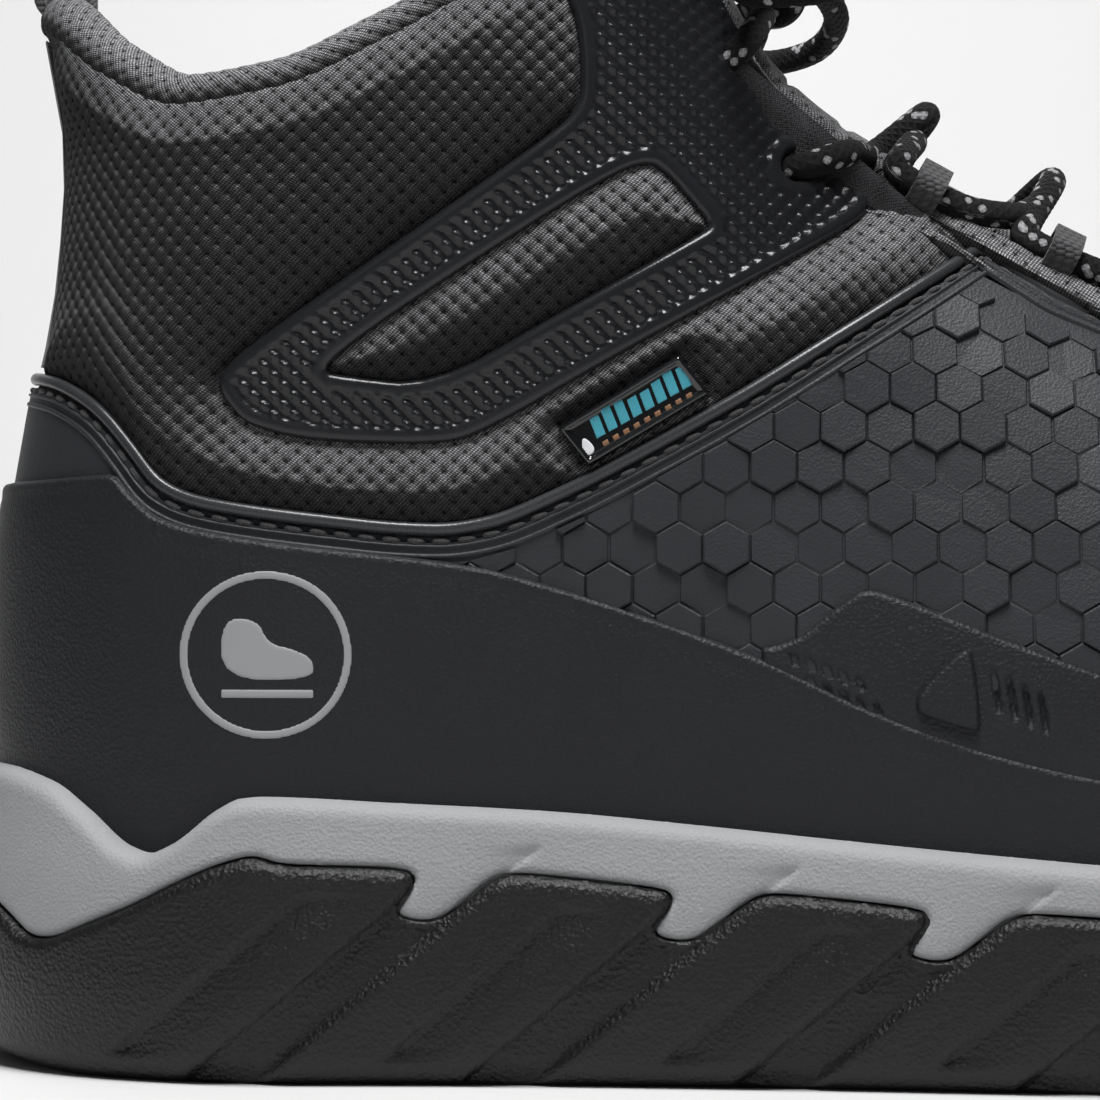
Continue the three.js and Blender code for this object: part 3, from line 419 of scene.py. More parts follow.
class Look:
    def __init__(self, name, color, roughness, metallic=0.0, **fixed):
        self.material = bpy.data.materials.new(name)
        self.material.use_nodes = True
        self.tree = self.material.node_tree
        self.shader = self.tree.nodes["Principled BSDF"]
        self.set("Base Color", (*color, 1))
        self.set("Roughness", roughness)
        self.set("Metallic", metallic)
        for socket, value in fixed.items():
            self.set(socket.replace("_", " "), value)
        self.material.diffuse_color = (*color, 1)

    def set(self, socket, value):
        if isinstance(value, Wire):
            self.tree.links.new(value.socket, self.shader.inputs[socket])
        else:
            self.shader.inputs[socket].default_value = value

    def node(self, kind, settings=None, values=(), out=0):
        made = self.tree.nodes.new(kind)
        for key, value in (settings or {}).items():
            if key == "stops":
                ramp = made.color_ramp
                for spot, (at, shade) in enumerate(value):
                    stop = ramp.elements[spot] if spot < 2 else ramp.elements.new(at)
                    stop.position, stop.color = at, (shade, shade, shade, 1)
            else:
                setattr(made, key, value)
        named = values.items() if isinstance(values, dict) else enumerate(values)
        for socket, value in named:
            if isinstance(value, Wire):
                self.tree.links.new(value.socket, made.inputs[socket])
            else:
                made.inputs[socket].default_value = value
        return Wire(self, made.outputs[out])

    def place(self):
        return self.node("ShaderNodeTexCoord", out="Object")

    def surface(self, carried=False):
        # u and v over the surface, in millimetres; a part carried over from CAD takes them from its place
        spot = self.place() if carried else self.node("ShaderNodeUVMap", {"uv_map": "surface"})
        x, y, z = (self.node("ShaderNodeSeparateXYZ", None, [spot], axis) for axis in range(3))
        return ((x * 0.8 + y * 0.6) * 1000.0, z * 1000.0) if carried else (x * 100.0, y * 100.0)

    def noise(self, size, detail=2.0, roughness=0.5):
        # size is the width of one feature in millimetres
        values = {"Vector": self.place(), "Scale": 1000.0 / size, "Detail": detail, "Roughness": roughness}
        return self.node("ShaderNodeTexNoise", None, values)

    def cells(self, size):
        values = {"Vector": self.place(), "Scale": 1000.0 / size}
        return self.node("ShaderNodeTexVoronoi", {"feature": "F1"}, values, "Distance")

    def ramp(self, value, *stops):
        return self.node("ShaderNodeValToRGB", {"stops": stops}, [value])

    def blend(self, factor, low, high):
        values = {0: factor, 6: (*low, 1), 7: (*high, 1)}
        return self.node("ShaderNodeMix", {"data_type": "RGBA"}, values, 2)

    def bump(self, height, depth):
        # depth in millimetres
        values = {"Height": height, "Distance": depth / 1000, "Strength": 1.0}
        self.set("Normal", self.node("ShaderNodeBump", None, values))


def shades(look, low, high, factor):
    look.set("Base Color", look.blend(factor, low, high))


def moulded(name, color, roughness, grain, depth, spread, **fixed):
    # Moulded plastic or rubber: a fine leathery grain over slow changes of tone.
    look = Look(name, color, roughness, **fixed)
    slow = look.noise(14, 3.0)
    pebble = look.cells(grain)
    fine = look.noise(grain * 0.45, 3.0, 0.6)
    low = tuple(c * (1 - spread) for c in color)
    high = tuple(c * (1 + spread) for c in color)
    shades(look, low, high, slow * 0.7 + fine * 0.3)
    look.set("Roughness", roughness + (fine - 0.5) * 0.16 + (slow - 0.5) * 0.1)
    look.bump(pebble * 0.6 + fine * 0.5, depth)
    return look.material


def staggered(u, v, pitch, row):
    # Squared distance to the nearest of a staggered lattice of ovals, 1 at the edge of each.
    near = []
    for shift in (0.0, 0.5):
        du = ((u / pitch + shift).fraction() - 0.5) * 2.0
        dv = ((v / row + shift).fraction() - 0.5) * 2.0
        near.append(du * du + dv * dv)
    return near[0].least(near[1])


def upFacingPaintedLight(look):
    # How far the cloth faces up, used to paint a highlight into its threads' colour there.
    normal = look.node("ShaderNodeNewGeometry", out="Normal")
    up = look.node("ShaderNodeSeparateXYZ", None, [normal], 2)
    return look.ramp(up, (0.0, 0.1), (0.08, 0.2), (0.34, 0.75), (0.65, 1.0))


def knitted(name, color, thread, pitch, row, depth, carried=False):
    # Jacquard: staggered clusters of fine threads with dark gaps between them; the threads get a painted highlight
    # where the cloth faces up.
    look = Look(name, color, 0.7, Specular_IOR_Level=0.15)
    u, v = look.surface(carried)
    slow = look.noise(9, 2.0)
    fleck = look.noise(0.35, 2.0)
    body = look.ramp(staggered(u, v, pitch, row), (0.0, 1.0), (0.62, 0.8), (0.85, 0.12), (1.0, 0.0))
    rice = look.ramp(staggered(u + v * 0.35, v, 0.62, 0.46), (0.0, 1.0), (0.5, 0.25), (0.8, 0.0))
    paintedTopLight = upFacingPaintedLight(look)
    # painted highlight: thread grains turn towards the pale thread colour, and more metallic, where the cloth faces
    # up
    paintedGlint = rice * (body * 0.85 + 0.15) * (fleck * 1.5 - 0.15).most(0.0) * paintedTopLight
    shades(look, color, thread, (paintedGlint * (slow * 0.6 + 0.7)).least(1.0))
    look.set("Roughness", 0.68 - paintedGlint * 0.32)
    look.set("Metallic", paintedGlint * 0.6)
    look.bump(body * 0.7 + rice * 0.22, depth)
    return look.material


def woven(name, color, thread, across, along, depth, carried=False):
    # Plain webbing: warp and weft ribs, with painted shade between them and random pale flecks.
    look = Look(name, color, 0.8, Sheen_Weight=0.2)
    u, v = look.surface(carried)
    warp = (u * (math.pi / across)).sine().size()
    weft = (v * (math.pi / along) + (u / across).whole() * (math.pi / 2)).sine().size()
    fleck = look.noise(0.6, 3.0)
    height = warp * 0.5 + weft * 0.5
    # painted shade: colour darker in the grooves between ribs and lighter on their crests, plus random pale flecks
    shades(look, color, thread, (height * 0.6 + fleck * 0.6 - 0.35).most(0.0))
    look.set("Roughness", 0.88 - height * 0.18)
    look.bump(height, depth)
    return look.material


lace = {"radius": 2.05, "step": 0.45, "plait": 1.55, "strands": 4, "sides": 20}


def braided(name):
    # Round braid: crossing plaits, black with pale flecks on some of them; the flecks fade into painted shade in the
    # grooves.
    look = Look(name, (0.005, 0.005, 0.0055), 0.75, Specular_IOR_Level=0.25)
    u, v = look.surface()
    ways = []
    for turn in (1.0, -1.0):
        line = u / lace["plait"] + v * turn
        ways.append(((line.fraction() - 0.5).size() * 2.0, line.whole()))
    over = (u / lace["plait"]).fraction().above(0.5)
    ridgeLine = 1 - ways[0][0].least(ways[1][0])
    pick = look.node("ShaderNodeCombineXYZ", None, [ways[0][1], ways[1][1], 0.0])
    luck = look.node("ShaderNodeTexWhiteNoise", {"noise_dimensions": "3D"}, [pick])
    fibre = (u * 9.0 + v * 40.0).sine().size()
    # the pale flecks are the lace's own colour; fading them off the plait crests and into the fibre grooves is
    # painted shade
    pale = luck.above(0.87) * ridgeLine
    tone = look.blend(pale * (0.4 + fibre * 0.6), (0.0045, 0.0045, 0.005), (0.6, 0.6, 0.62))
    look.set("Base Color", tone)
    look.set("Roughness", 0.85 - ridgeLine * 0.2 + over * 0.02)
    look.bump(ridgeLine + fibre * 0.25, 0.35)
    return look.material


looks = {
    "rubber": moulded("outsoleRubber", (0.005, 0.0052, 0.0056), 0.4, 0.7, 0.26, 0.25, Specular_IOR_Level=0.4),
    "foam": moulded("midsoleFoam", (0.33, 0.335, 0.345), 0.6, 0.5, 0.16, 0.07, Specular_IOR_Level=0.3),
    "shell": moulded("mouldedShell", (0.026, 0.0275, 0.031), 0.48, 0.45, 0.08, 0.12, Specular_IOR_Level=0.3),
    "rand": moulded("smoothRand", (0.0135, 0.0143, 0.0163), 0.46, 0.6, 0.2, 0.12, Specular_IOR_Level=0.28),
    "bead": moulded("beadRubber", (0.034, 0.035, 0.038), 0.28, 0.5, 0.02, 0.08, Specular_IOR_Level=0.4),
    "film": moulded("overlayFilm", (0.0135, 0.014, 0.016), 0.25, 0.35, 0.02, 0.1, Specular_IOR_Level=0.35),
    # the second colour of each knitted finish is its painted highlight colour on up-facing threads
    "mesh": knitted("meshFabric", (0.0022, 0.0022, 0.0026), (0.62, 0.62, 0.64), 3.0, 2.86, 0.9),
    "lining": knitted("liningKnit", (0.006, 0.006, 0.007), (0.08, 0.08, 0.085), 1.6, 1.5, 0.25),
    "meshSolid": knitted("meshCarried", (0.0022, 0.0022, 0.0026), (0.62, 0.62, 0.64), 3.0, 2.86, 0.9, True),
    "liningSolid": knitted("liningCarried", (0.01, 0.01, 0.011), (0.12, 0.12, 0.125), 2.4, 2.2, 0.3, True),
    # the second colour of each woven finish is its rib-crest and fleck colour; its darker grooves are painted shade
    "thread": woven("waxedThread", (0.006, 0.006, 0.007), (0.05, 0.05, 0.055), 0.5, 0.5, 0.1),
    "webbing": woven("webbingTape", (0.007, 0.007, 0.008), (0.05, 0.05, 0.055), 1.1, 0.9, 0.3, True),
    "lace": braided("laceBraid"),
    "tag": moulded("glossTag", (0.005, 0.0055, 0.0065), 0.18, 0.8, 0.004, 0.1, Coat_Weight=0.5),
    "teal": moulded("tealPrint", (0.055, 0.33, 0.42), 0.45, 0.5, 0.005, 0.1),
    "amber": moulded("amberPrint", (0.24, 0.12, 0.06), 0.45, 0.5, 0.005, 0.1),
    "pale": moulded("palePrint", (0.75, 0.76, 0.78), 0.5, 0.5, 0.005, 0.05),
    "mark": moulded("heelPrint", (0.3, 0.305, 0.315), 0.55, 0.5, 0.01, 0.05),
    "tip": moulded("tipPlastic", (0.01, 0.01, 0.011), 0.25, 0.8, 0.006, 0.1),
    "board": moulded("pressedBoard", (0.45, 0.4, 0.31), 0.85, 0.7, 0.08, 0.12),
    "composite": moulded("capComposite", (0.06, 0.075, 0.05), 0.5, 0.8, 0.05, 0.15),
    "openFoam": moulded("openFoam", (0.42, 0.38, 0.3), 0.92, 0.8, 0.25, 0.1),
}


def finishPiece(made, look, body, replaced=()):
    made.data.materials.clear()
    made.data.materials.append(looks[look])
    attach(made, body)
    if replaced:
        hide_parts(*replaced)
    return made


# Each softbox: place, aim, size and power, in metres and watts.
stageSet = {
    "cameraX": 87.14, "cameraZ": 76.14, "view": 157.14, "plane": -38, "lens": 120, "sensor": 36, "world": 0.05,
    "softbox_top": ((-0.06, -0.26, 0.8), (-0.04, 0, 0.1), 0.34, 9),
    "softbox_front": ((-0.5, -1.3, 0.6), (-0.05, 0, 0.07), 0.7, 0.6),
    "softbox_back": ((0.0, 0.55, 1.3), (0, 1.6, 0.5), 1.0, 22),
}


def buildStage():
    lens = bpy.data.cameras.new("boot_camera")
    lens.lens, lens.sensor_width = stageSet["lens"], stageSet["sensor"]
    away = stageSet["view"] * stageSet["lens"] / stageSet["sensor"]
    camera = bpy.data.objects.new("boot_camera", lens)
    bpy.context.scene.collection.objects.link(camera)
    spot = np.array([stageSet["cameraX"], stageSet["plane"] - away, stageSet["cameraZ"]])
    camera.location = (spot - bootCentre) / 1000
    camera.rotation_euler = (math.pi / 2, 0, 0)
    lens.clip_start, lens.clip_end = 0.02, 20
    bpy.context.scene.camera = camera

    # a floor that curves up behind into a backdrop
    width = np.linspace(-3, 3, 7)
    turn = np.linspace(0, math.pi / 2, 16)
    profile = [(-2.5, 0.0), (0.9, 0.0)]
    profile += [(0.9 + 0.8 * math.sin(a), 0.8 - 0.8 * math.cos(a)) for a in turn[1:]] + [(1.7, 3.0)]
    sweep = np.array([[(x, y, z) for x in width] for y, z in profile]) * 1000 + bootCentre * [1, 1, 0]
    floor = makeMesh("studio_floor", sweep, [gridFaces(len(profile), len(width))])
    paint = Look("floorPaper", (0.7, 0.7, 0.7), 0.9)
    paint.bump(paint.noise(3.0), 0.02)
    floor.data.materials.append(paint.material)

    world = bpy.data.worlds.new("studio")
    world.use_nodes = True
    world.node_tree.nodes["Background"].inputs[0].default_value = (1, 1, 1, 1)
    world.node_tree.nodes["Background"].inputs[1].default_value = stageSet["world"]
    bpy.context.scene.world = world
    bpy.context.scene.view_settings.view_transform = "Standard"
    for name in ("softbox_top", "softbox_front", "softbox_back"):
        place, aim, size, power = stageSet[name]
        lamp = bpy.data.lights.new(name, "AREA")
        lamp.size, lamp.energy = size, power
        made = bpy.data.objects.new(name, lamp)
        made.location = place
        made.rotation_euler = (Vector(aim) - Vector(place)).to_track_quat("-Z", "Y").to_euler()
        bpy.context.scene.collection.objects.link(made)


buildStage()
print("stage ready")


def solveRing(t, within, low=0.0, high=18.0):
    # The ring where each column leaves a region.
    low, high = np.full(len(t), float(low)), np.full(len(t), float(high))
    for _ in range(26):
        mid = (low + high) / 2
        keep = within(ringPoint(mid, t))
        low, high = np.where(keep, mid, low), np.where(keep, high, mid)
    return low


def evenAngles(q, step, start=0.0, stop=2 * math.pi):
    # Angles that step evenly along one ring.
    dense = np.linspace(start, stop, 3000)
    run = runAlong(ringPoint(np.full(3000, q), dense))
    return np.interp(np.linspace(0, run[-1], int(run[-1] / step) + 1), run, dense)


def throatDistance(p, half):
    # How far a point is outside the lacing gap, seen from above.
    across = p[..., 1] - throatMid
    ahead = np.clip(p[..., 0] - throatX, 0, None)
    return np.hypot(across, ahead) - half


def belowBead(p, gap):
    # How far a point is below the bead, less a gap.
    return np.where(p[..., 0] < 152, beadLine(p[..., 0]) - gap - p[..., 2], throatDistance(p, beadHalf + gap))


def strip(t, low, high, spread, lift):
    # A patch between two ring limits. spread gives its rows, from 0 at the lower one to 1 at the upper
    # one, and lift takes the distances to them.
    q = low + (high - low) * spread[:, None]
    tt = np.broadcast_to(t, q.shape)
    base = ringPoint(q, tt)
    step = np.linalg.norm(np.diff(base, axis=0), axis=-1)
    run = np.concatenate([np.zeros((1, len(t))), np.cumsum(step, 0)], 0)
    along = runAlong(base[len(spread) // 2])
    height = lift(base, run, run[-1] - run)
    points = base + ringNormal(q, tt) * height[..., None]
    return points, np.stack([np.broadcast_to(along, q.shape), run], -1), base


def rounded(distance, radius):
    return np.sqrt(1 - (1 - np.clip(distance / radius, 0, 1)) ** 2)


edgeSpread = np.r_[np.linspace(0, 0.94, 26)[:-1], np.linspace(0.94, 1, 9)]  # rows crowd towards the rim
rand = {"rim": 1.35, "roundness": 1.3, "crease": 0.105, "creaseAt": 2.6, "creaseWidth": 0.7}


def buildRand():
    t = evenAngles(2, 1.4)
    top = solveRing(t, lambda p: p[..., 2] < randLine(p[..., 0]))

    def lift(base, low, high):
        crease = rand["crease"] * np.exp(-((high - rand["creaseAt"]) / rand["creaseWidth"]) ** 2)
        return layers["rand"] - rand["rim"] + rand["rim"] * rounded(high, rand["roundness"]) - crease

    points, uv, _ = strip(t, np.zeros(len(t)), top, edgeSpread, lift)
    shape = Shape()
    shape.grid(points, uv)
    finishPiece(shape.make("rand_skin"), "rand", "boot", ["rand"])


def buildShellBase():
    t = evenAngles(4, 1.4)
    low = solveRing(t, lambda p: p[..., 2] < randLine(p[..., 0]) - 3)
    high = np.maximum(solveRing(t, lambda p: belowBead(p, 2.0) > 0), low + 0.02)
    lift = layers["shell"] - 0.25
    points, uv, _ = strip(t, low, high, np.linspace(0, 1, 30), lambda base, down, up: down * 0 + lift)
    shape = Shape()
    shape.grid(points, uv)
    finishPiece(shape.make("shell_base"), "shell", "boot", ["outer_shell"])


# The shell's hexagonal tiles, laid out by x and by arc length up the side and over the roof.
tiles = {
    "width": 6.66, "centre": (102.36, 70.64), "gap": 0.12, "low": 0.02, "high": 1.1, "tilt": 0.07,
    "backEnd": 62, "frontEnd": 266, "beadGap": 4.3, "smallest": 1.0,
}
archX = np.arange(50, 281, 3.0)
archFoot, archRows = wallHeight - 15, 90


def archTable():
    # Heights, and the arc length to each, at every x.
    heights, arcs = [], []
    for x in archX:
        z = archFoot + (ridge(x) - 0.03 - archFoot) * np.sin(np.linspace(0, math.pi / 2, archRows))
        heights.append(z)
        arcs.append(runAlong(np.stack([z, halfWidth(np.full(archRows, x), z)], -1)) + archFoot)
    return np.array(heights), np.array(arcs)


archZ, archRun = archTable()


def heightAt(x, run):
    # z of a place given by x and arc length.
    k = np.clip((x - archX[0]) / 3.0, 0, len(archX) - 1.001)
    i = k.astype(int)
    pair, part = [], np.ravel(k - i)
    for j in (i, i + 1):
        spots = zip(np.ravel(run), np.ravel(j))
        pair.append(np.array([np.interp(r, archRun[n], archZ[n]) for r, n in spots]))
    return (pair[0] * (1 - part) + pair[1] * part).reshape(np.shape(x))


def clipped(polygon, values):
    # The part of a polygon where the values at its corners are positive.
    out = []
    for i in range(len(polygon)):
        p, q, a, b = polygon[i - 1], polygon[i], values[i - 1], values[i]
        if (a > 0) != (b > 0):
            out.append(p + (q - p) * a / (a - b))
        if b > 0:
            out.append(q)
    return np.array(out)


def tileCentres():
    # Where the shell has room for a tile, by x and arc length.
    pitch = tiles["width"] * math.sqrt(3) / 2
    x, run = np.array([
        (tiles["centre"][0] + (column + 0.5 * (row % 2)) * tiles["width"], tiles["centre"][1] + row * pitch)
        for row in range(-8, 22) for column in range(-8, 28)
    ]).T
    along = (x > archX[0] + 2) & (x < tiles["frontEnd"])
    x, run = x[along], run[along]
    top = archRun[np.round((x - archX[0]) / 3).astype(int), -1]
    return np.stack([x, run], -1)[(run < top - 1) & (heightAt(x, run) > randLine(x) - 5)]


def trimmedTile(ring, which):
    # Cuts a tile back along the bead and at the rear, and drops the smallest scraps.
    z = heightAt(ring[:, 0], ring[:, 1])
    top = throatDistance(sidePoint(ring[:, 0], z, which), beadHalf + tiles["beadGap"])
    room = np.where(ring[:, 0] < 151, (beadLine(ring[:, 0]) - z) * 0.86 - tiles["beadGap"], top)
    room = np.minimum(room, ring[:, 0] - tiles["backEnd"])
    if room.max() <= 0.4:
        return None
    ring = clipped(ring, room) if room.min() < 0 else ring
    big = len(ring) > 2 and np.linalg.norm(ring - ring.mean(0), axis=1).mean() >= tiles["smallest"]
    return ring if big else None


def addTile(shape, ring, which, height, lean):
    # Steep sides, a small bevel and a flat top that leans a little.
    centre, count = ring.mean(0), len(ring)
    size = np.linalg.norm(ring - centre, axis=1).mean()
    spots, lifts = [], []
    for inset, lift in ((0.0, -0.4), (0.02, height - 0.2), (0.26, height), (0.6, height)):
        spots.append(centre + (ring - centre) * (1 - inset / size))
        lifts.append(np.full(count, lift) + ((spots[-1] - centre) @ lean if lift > 0 else 0))
    flat, lifts = np.concatenate([*spots, [centre]]), np.concatenate([*lifts, [height]])
    z = np.minimum(heightAt(flat[:, 0], flat[:, 1]), ridge(flat[:, 0]) - 0.04)
    points = sideLift(flat[:, 0], z, which, layers["shell"] - 0.2 + lifts)
    last = 3 * count
    fan = np.array([[last + i, last + (i + 1) % count, last + count] for i in range(count)])
    faces = [gridFaces(4, count, closed=True), fan]
    shape.add(points, [f[:, ::-1] for f in faces] if which < 0 else faces, flat)


def buildTiles():
    shape = Shape()
    corner = np.array([[math.sin(a), math.cos(a)] for a in np.arange(6) * math.pi / 3])
    corner *= tiles["width"] / math.sqrt(3) - tiles["gap"] / 1.7
    for which, _ in sides:
        for centre in tileCentres():
            draw = chance.random(4)
            ring = trimmedTile(corner + centre, which)
            if ring is None:
                continue
            fade = float(np.clip((tiles["frontEnd"] - centre[0]) / 30, 0.15, 1))
            height = (tiles["low"] + (tiles["high"] - tiles["low"]) * draw[0] ** 1.6) * fade
            addTile(shape, ring, which, height, (draw[1:3] - 0.5) * 2 * tiles["tilt"] * fade)
    finishPiece(shape.make("shell_tiles", smooth=False), "shell", "boot")


# The bead, and below it a channel for the stitches, a thin lip and the flat edge of the shell. The
# section is distance below the bead against height off the surface.
bead = {
    "radius": 0.95, "lift": 1.15, "step": 0.6,
    "stitchAt": 1.8, "stitchPitch": 3.5, "stitchLong": 2.75, "stitchRadius": 0.45,
    "section": [
        (-0.6, 0.1), (0.6, 0.35), (1.1, 0.75), (1.45, 0.95), (2.1, 1.0), (2.25, 1.5), (2.4, 1.95), (2.62, 1.98),
        (2.8, 1.6), (3.0, 1.55), (3.5, 1.55), (3.7, 1.95), (4.0, 2.05), (4.3, 1.9), (4.5, 1.45),
    ],
}


def beadFrames():
    # Points on the surface along the bead, from the back seam round the lacing and back.
    def half(which):
        startX = float(heelBack(102.6)) + 0.02
        x = startX + (150 - startX) * np.linspace(0, 1, 220) ** 2
        side = sidePoint(sideU(x, beadLine(x)), beadLine(x), which)
        top = []
        spots = [(x, which * beadHalf) for x in np.arange(161, throatX, 3.0)]
        for a in np.radians(np.arange(0, 90, 6)):
            spots.append((throatX + beadHalf * math.sin(a), which * beadHalf * math.cos(a)))
        for x, y in spots:
            want = abs(y + throatMid - midline(x))
            low, high = wallHeight, float(ridge(x))
            for _ in range(40):
                z = (low + high) / 2
                low, high = (z, high) if halfWidth(np.array(x), np.array(z)) > want else (low, z)
            top.append((x, y + throatMid, low))
        return np.concatenate([side, np.array(top)])

    points = np.concatenate([half(-1), half(1)[::-1]])
    run = runAlong(points)
    points = averaged(readAt(np.arange(0, run[-1], bead["step"]), run, points), 6)
    tangent = unit(np.gradient(points, axis=0))
    e = 0.3
    x, z = points[:, 0], points[:, 2]
    which = np.sign(points[:, 1] - midline(x))
    wx = (halfWidth(x + e, z) - halfWidth(x - e, z)) / (2 * e)
    wz = (halfWidth(x, z + e) - halfWidth(x, z - e)) / (2 * e)
    mx = (midline(x + e) - midline(x - e)) / (2 * e)
    normal = unit(np.stack([-wx - which * mx, which, -wz], -1))
    normal = unit(normal - tangent * (normal * tangent).sum(-1, keepdims=True))
    return points, normal, np.cross(tangent, normal)


def sweepTube(shape, points, radius, sides, normal=None):
    # A tube along a line, with its ends closed to a point.
    tangent = unit(np.gradient(points, axis=0))
    if normal is None:
        normal = np.zeros_like(points)
        normal[0] = unit(np.cross(tangent[0], [0.3, 0.9, 0.1]))
        for i in range(1, len(points)):
            normal[i] = unit(normal[i - 1] - tangent[i] * (normal[i - 1] @ tangent[i]))
    side = np.cross(tangent, normal)
    a = np.linspace(0, 2 * math.pi, sides, endpoint=False)
    radius = radius if np.ndim(radius) == 2 else np.reshape(radius, (-1, 1))
    radius = np.broadcast_to(radius, (len(points), sides))
    around = np.cos(a)[None, :, None] * normal[:, None] + np.sin(a)[None, :, None] * side[:, None]
    ring = points[:, None] + radius[..., None] * around
    run = runAlong(points)
    uv = np.stack(np.broadcast_arrays(run[:, None], (a / (2 * math.pi) * 8)[None]), -1)
    count = len(points) * sides
    faces = gridFaces(len(points), sides, closed=True)
    ends = np.stack([points[0], points[-1]])
    first = np.array([[count, (i + 1) % sides, i] for i in range(sides)])
    last = np.array([[count + 1, count - sides + i, count - sides + (i + 1) % sides] for i in range(sides)])
    everyUv = np.concatenate([uv.reshape(-1, 2), [[run[0], 0], [run[-1], 0]]])
    shape.add(np.concatenate([ring.reshape(-1, 3), ends]), [faces, first, last], everyUv)


def buildBead():
    points, normal, down = beadFrames()
    shape = Shape()
    sweepTube(shape, points + normal * bead["lift"], bead["radius"], 12, normal)
    finishPiece(shape.make("bead_piping"), "bead", "boot", ["shell_bead"])

    section = np.array(bead["section"])
    rise = section[:, 1] - section[:, 0] ** 2 / 90  # the surface falls away under a straight section
    sheet = points[:, None] + down[:, None] * section[None, :, :1] + normal[:, None] * rise[None, :, None]
    run = np.arange(len(points)) * bead["step"]
    uv = np.stack(np.broadcast_arrays(run[:, None], section[None, :, 0]), -1)
    shape = Shape()
    shape.grid(sheet, uv)
    finishPiece(shape.make("shell_edge"), "shell", "boot")

    shape = Shape()
    for start in np.arange(1.5, run[-1] - 4, bead["stitchPitch"]):
        k = np.linspace(0, 1, 9)
        spot = start + k * bead["stitchLong"]
        at, outward, downward = (readAt(spot, run, values) for values in (points, normal, down))
        rise = 1.2 + 0.35 * np.sin(k * math.pi) ** 0.5 - 0.1
        line = at + downward * (bead["stitchAt"] + 0.18 * (k - 0.5))[:, None] + outward * rise[:, None]
        thick = bead["stitchRadius"] * np.sqrt(np.clip(1 - (2 * k - 1) ** 4, 0.02, 1))
        sweepTube(shape, line, thick, 8, outward)
    finishPiece(shape.make("shell_stitches"), "thread", "boot", ["shell_stitching"])


def bothSides(name, look, slot, replaced, outline, **how):
    for which, side in sides:
        shape = Shape()
        sidePatch(shape, outline, which, **how)
        finishPiece(shape.make(name + "_" + side), look, "boot", [n + side for n in replaced])


band = {
    "barRows": ((120.2, 62.4), (122.6, 58.9)), "barDepth": 0.6, "slotDepth": 0.9,
    "badge": [(139.6, 52.7), (147.6, 50.2), (148.3, 51.4), (147.3, 60.6), (146.4, 61.9), (145.0, 61.6), (139.3, 55.8),
              (139.0, 54.2)],
}


def buildBand():
    x = np.linspace(117.3, 205, 70)
    low = np.stack([x, randLine(x) - 1.2], -1)
    high = np.stack([x, np.maximum(bandLine(x), randLine(x) + 0.4)], -1)[::-1]
    outline = np.concatenate([low, high])
    bars, slots = [], []
    for x0, z0 in band["barRows"]:  # short slanted bars pressed into the band
        for k in range(5):
            x, z = x0 + 0.8 + k * 2.35, z0 - 0.38 * k * 2.35 - 0.4
            bars.append(np.add([(0, 0), (1.35, -0.5), (2.0, -2.7), (0.65, -2.2)], (x, z)))
    for k in range(4):
        x, z = 149.3 + k * 2.15, 59.3 - k * 0.95
        slots.append(np.add([(0, 0), (1.1, -0.45), (2.0, -6.6), (0.95, -6.1)], (x, z)))
    pressed = [inside(softened(b, 1)) for b in bars + slots]
    deep = [band["barDepth"]] * len(bars) + [band["slotDepth"]] * len(slots)

    def relief(u, z, near):
        total = np.zeros(np.shape(u))
        for cut, depth in zip(pressed, deep):
            close = (np.abs(u - 138) < 25) & (z > 45)
            if close.any():
                value = np.zeros(np.shape(u))
                value[close] = cut(u[close], z[close])
                total -= depth * np.clip(value / 0.3, 0, 1)
        return total

    bothSides("support_band_skin", "rand", "smooth_rand", ["support_band_"], outline,
              base=layers["shell"] - 0.1, height=1.15, step=0.34, roundness=0.9, relief=relief, depth=1.5)
    bothSides("band_badge_skin", "rand", "smooth_rand", ["band_badge_"], softened(band["badge"], 2),
              base=layers["band"] - 0.3, height=1.2, step=0.3, roundness=0.8, depth=1.4)


overlay = {
    "outline": [
        (39.2, 99.8), (40.6, 102.7), (44.2, 105.7), (59.8, 116.6), (76.1, 127.8), (87.1, 135.6), (90.5, 138.6),
        (91.6, 142), (91, 152), (88, 158.2), (98, 163.2), (124, 172), (122, 150), (126, 142.4), (130.3, 137.1),
        (134.3, 131.1), (134.4, 127.4), (132.4, 123.9), (119.9, 116.7), (95.3, 103.1), (78, 93.1), (72, 91.2),
        (59.7, 91.4), (51.6, 92), (45.8, 93.4), (42.4, 95),
    ],
    "window": [
        (54.4, 101.9), (57.5, 101.2), (70.3, 99.9), (87.1, 109.4), (109, 121.6), (110, 122.8), (107.6, 125.6),
        (103.5, 130.2), (101, 131.7), (95.3, 129.4), (72, 114.6), (59.7, 106.4),
    ],
    "rim": 2.0, "scaleWidth": 2.9, "scaleRow": 2.84,
}
overlayOuter = inside(softened(overlay["outline"], 2))
overlayHole = inside(softened(overlay["window"], 2))
eyelet = {"at": (122.9, 131.9), "radius": 2.3}
tag = {"corner": (91.57, 87.3), "along": (18.53, 10.6), "up": (-3.43, 6.84)}
tagOutline = np.array([
    tag["corner"], np.add(tag["corner"], tag["along"]),
    np.add(np.add(tag["corner"], tag["along"]), tag["up"]), np.add(tag["corner"], tag["up"]),
])
tagField = inside(tagOutline)


def eyeletDistance(u, z):
    return np.hypot(u - eyelet["at"][0], z - eyelet["at"][1]) - eyelet["radius"]


def overlayField(u, z):
    return np.minimum(overlayOuter(u, z), -overlayHole(u, z))


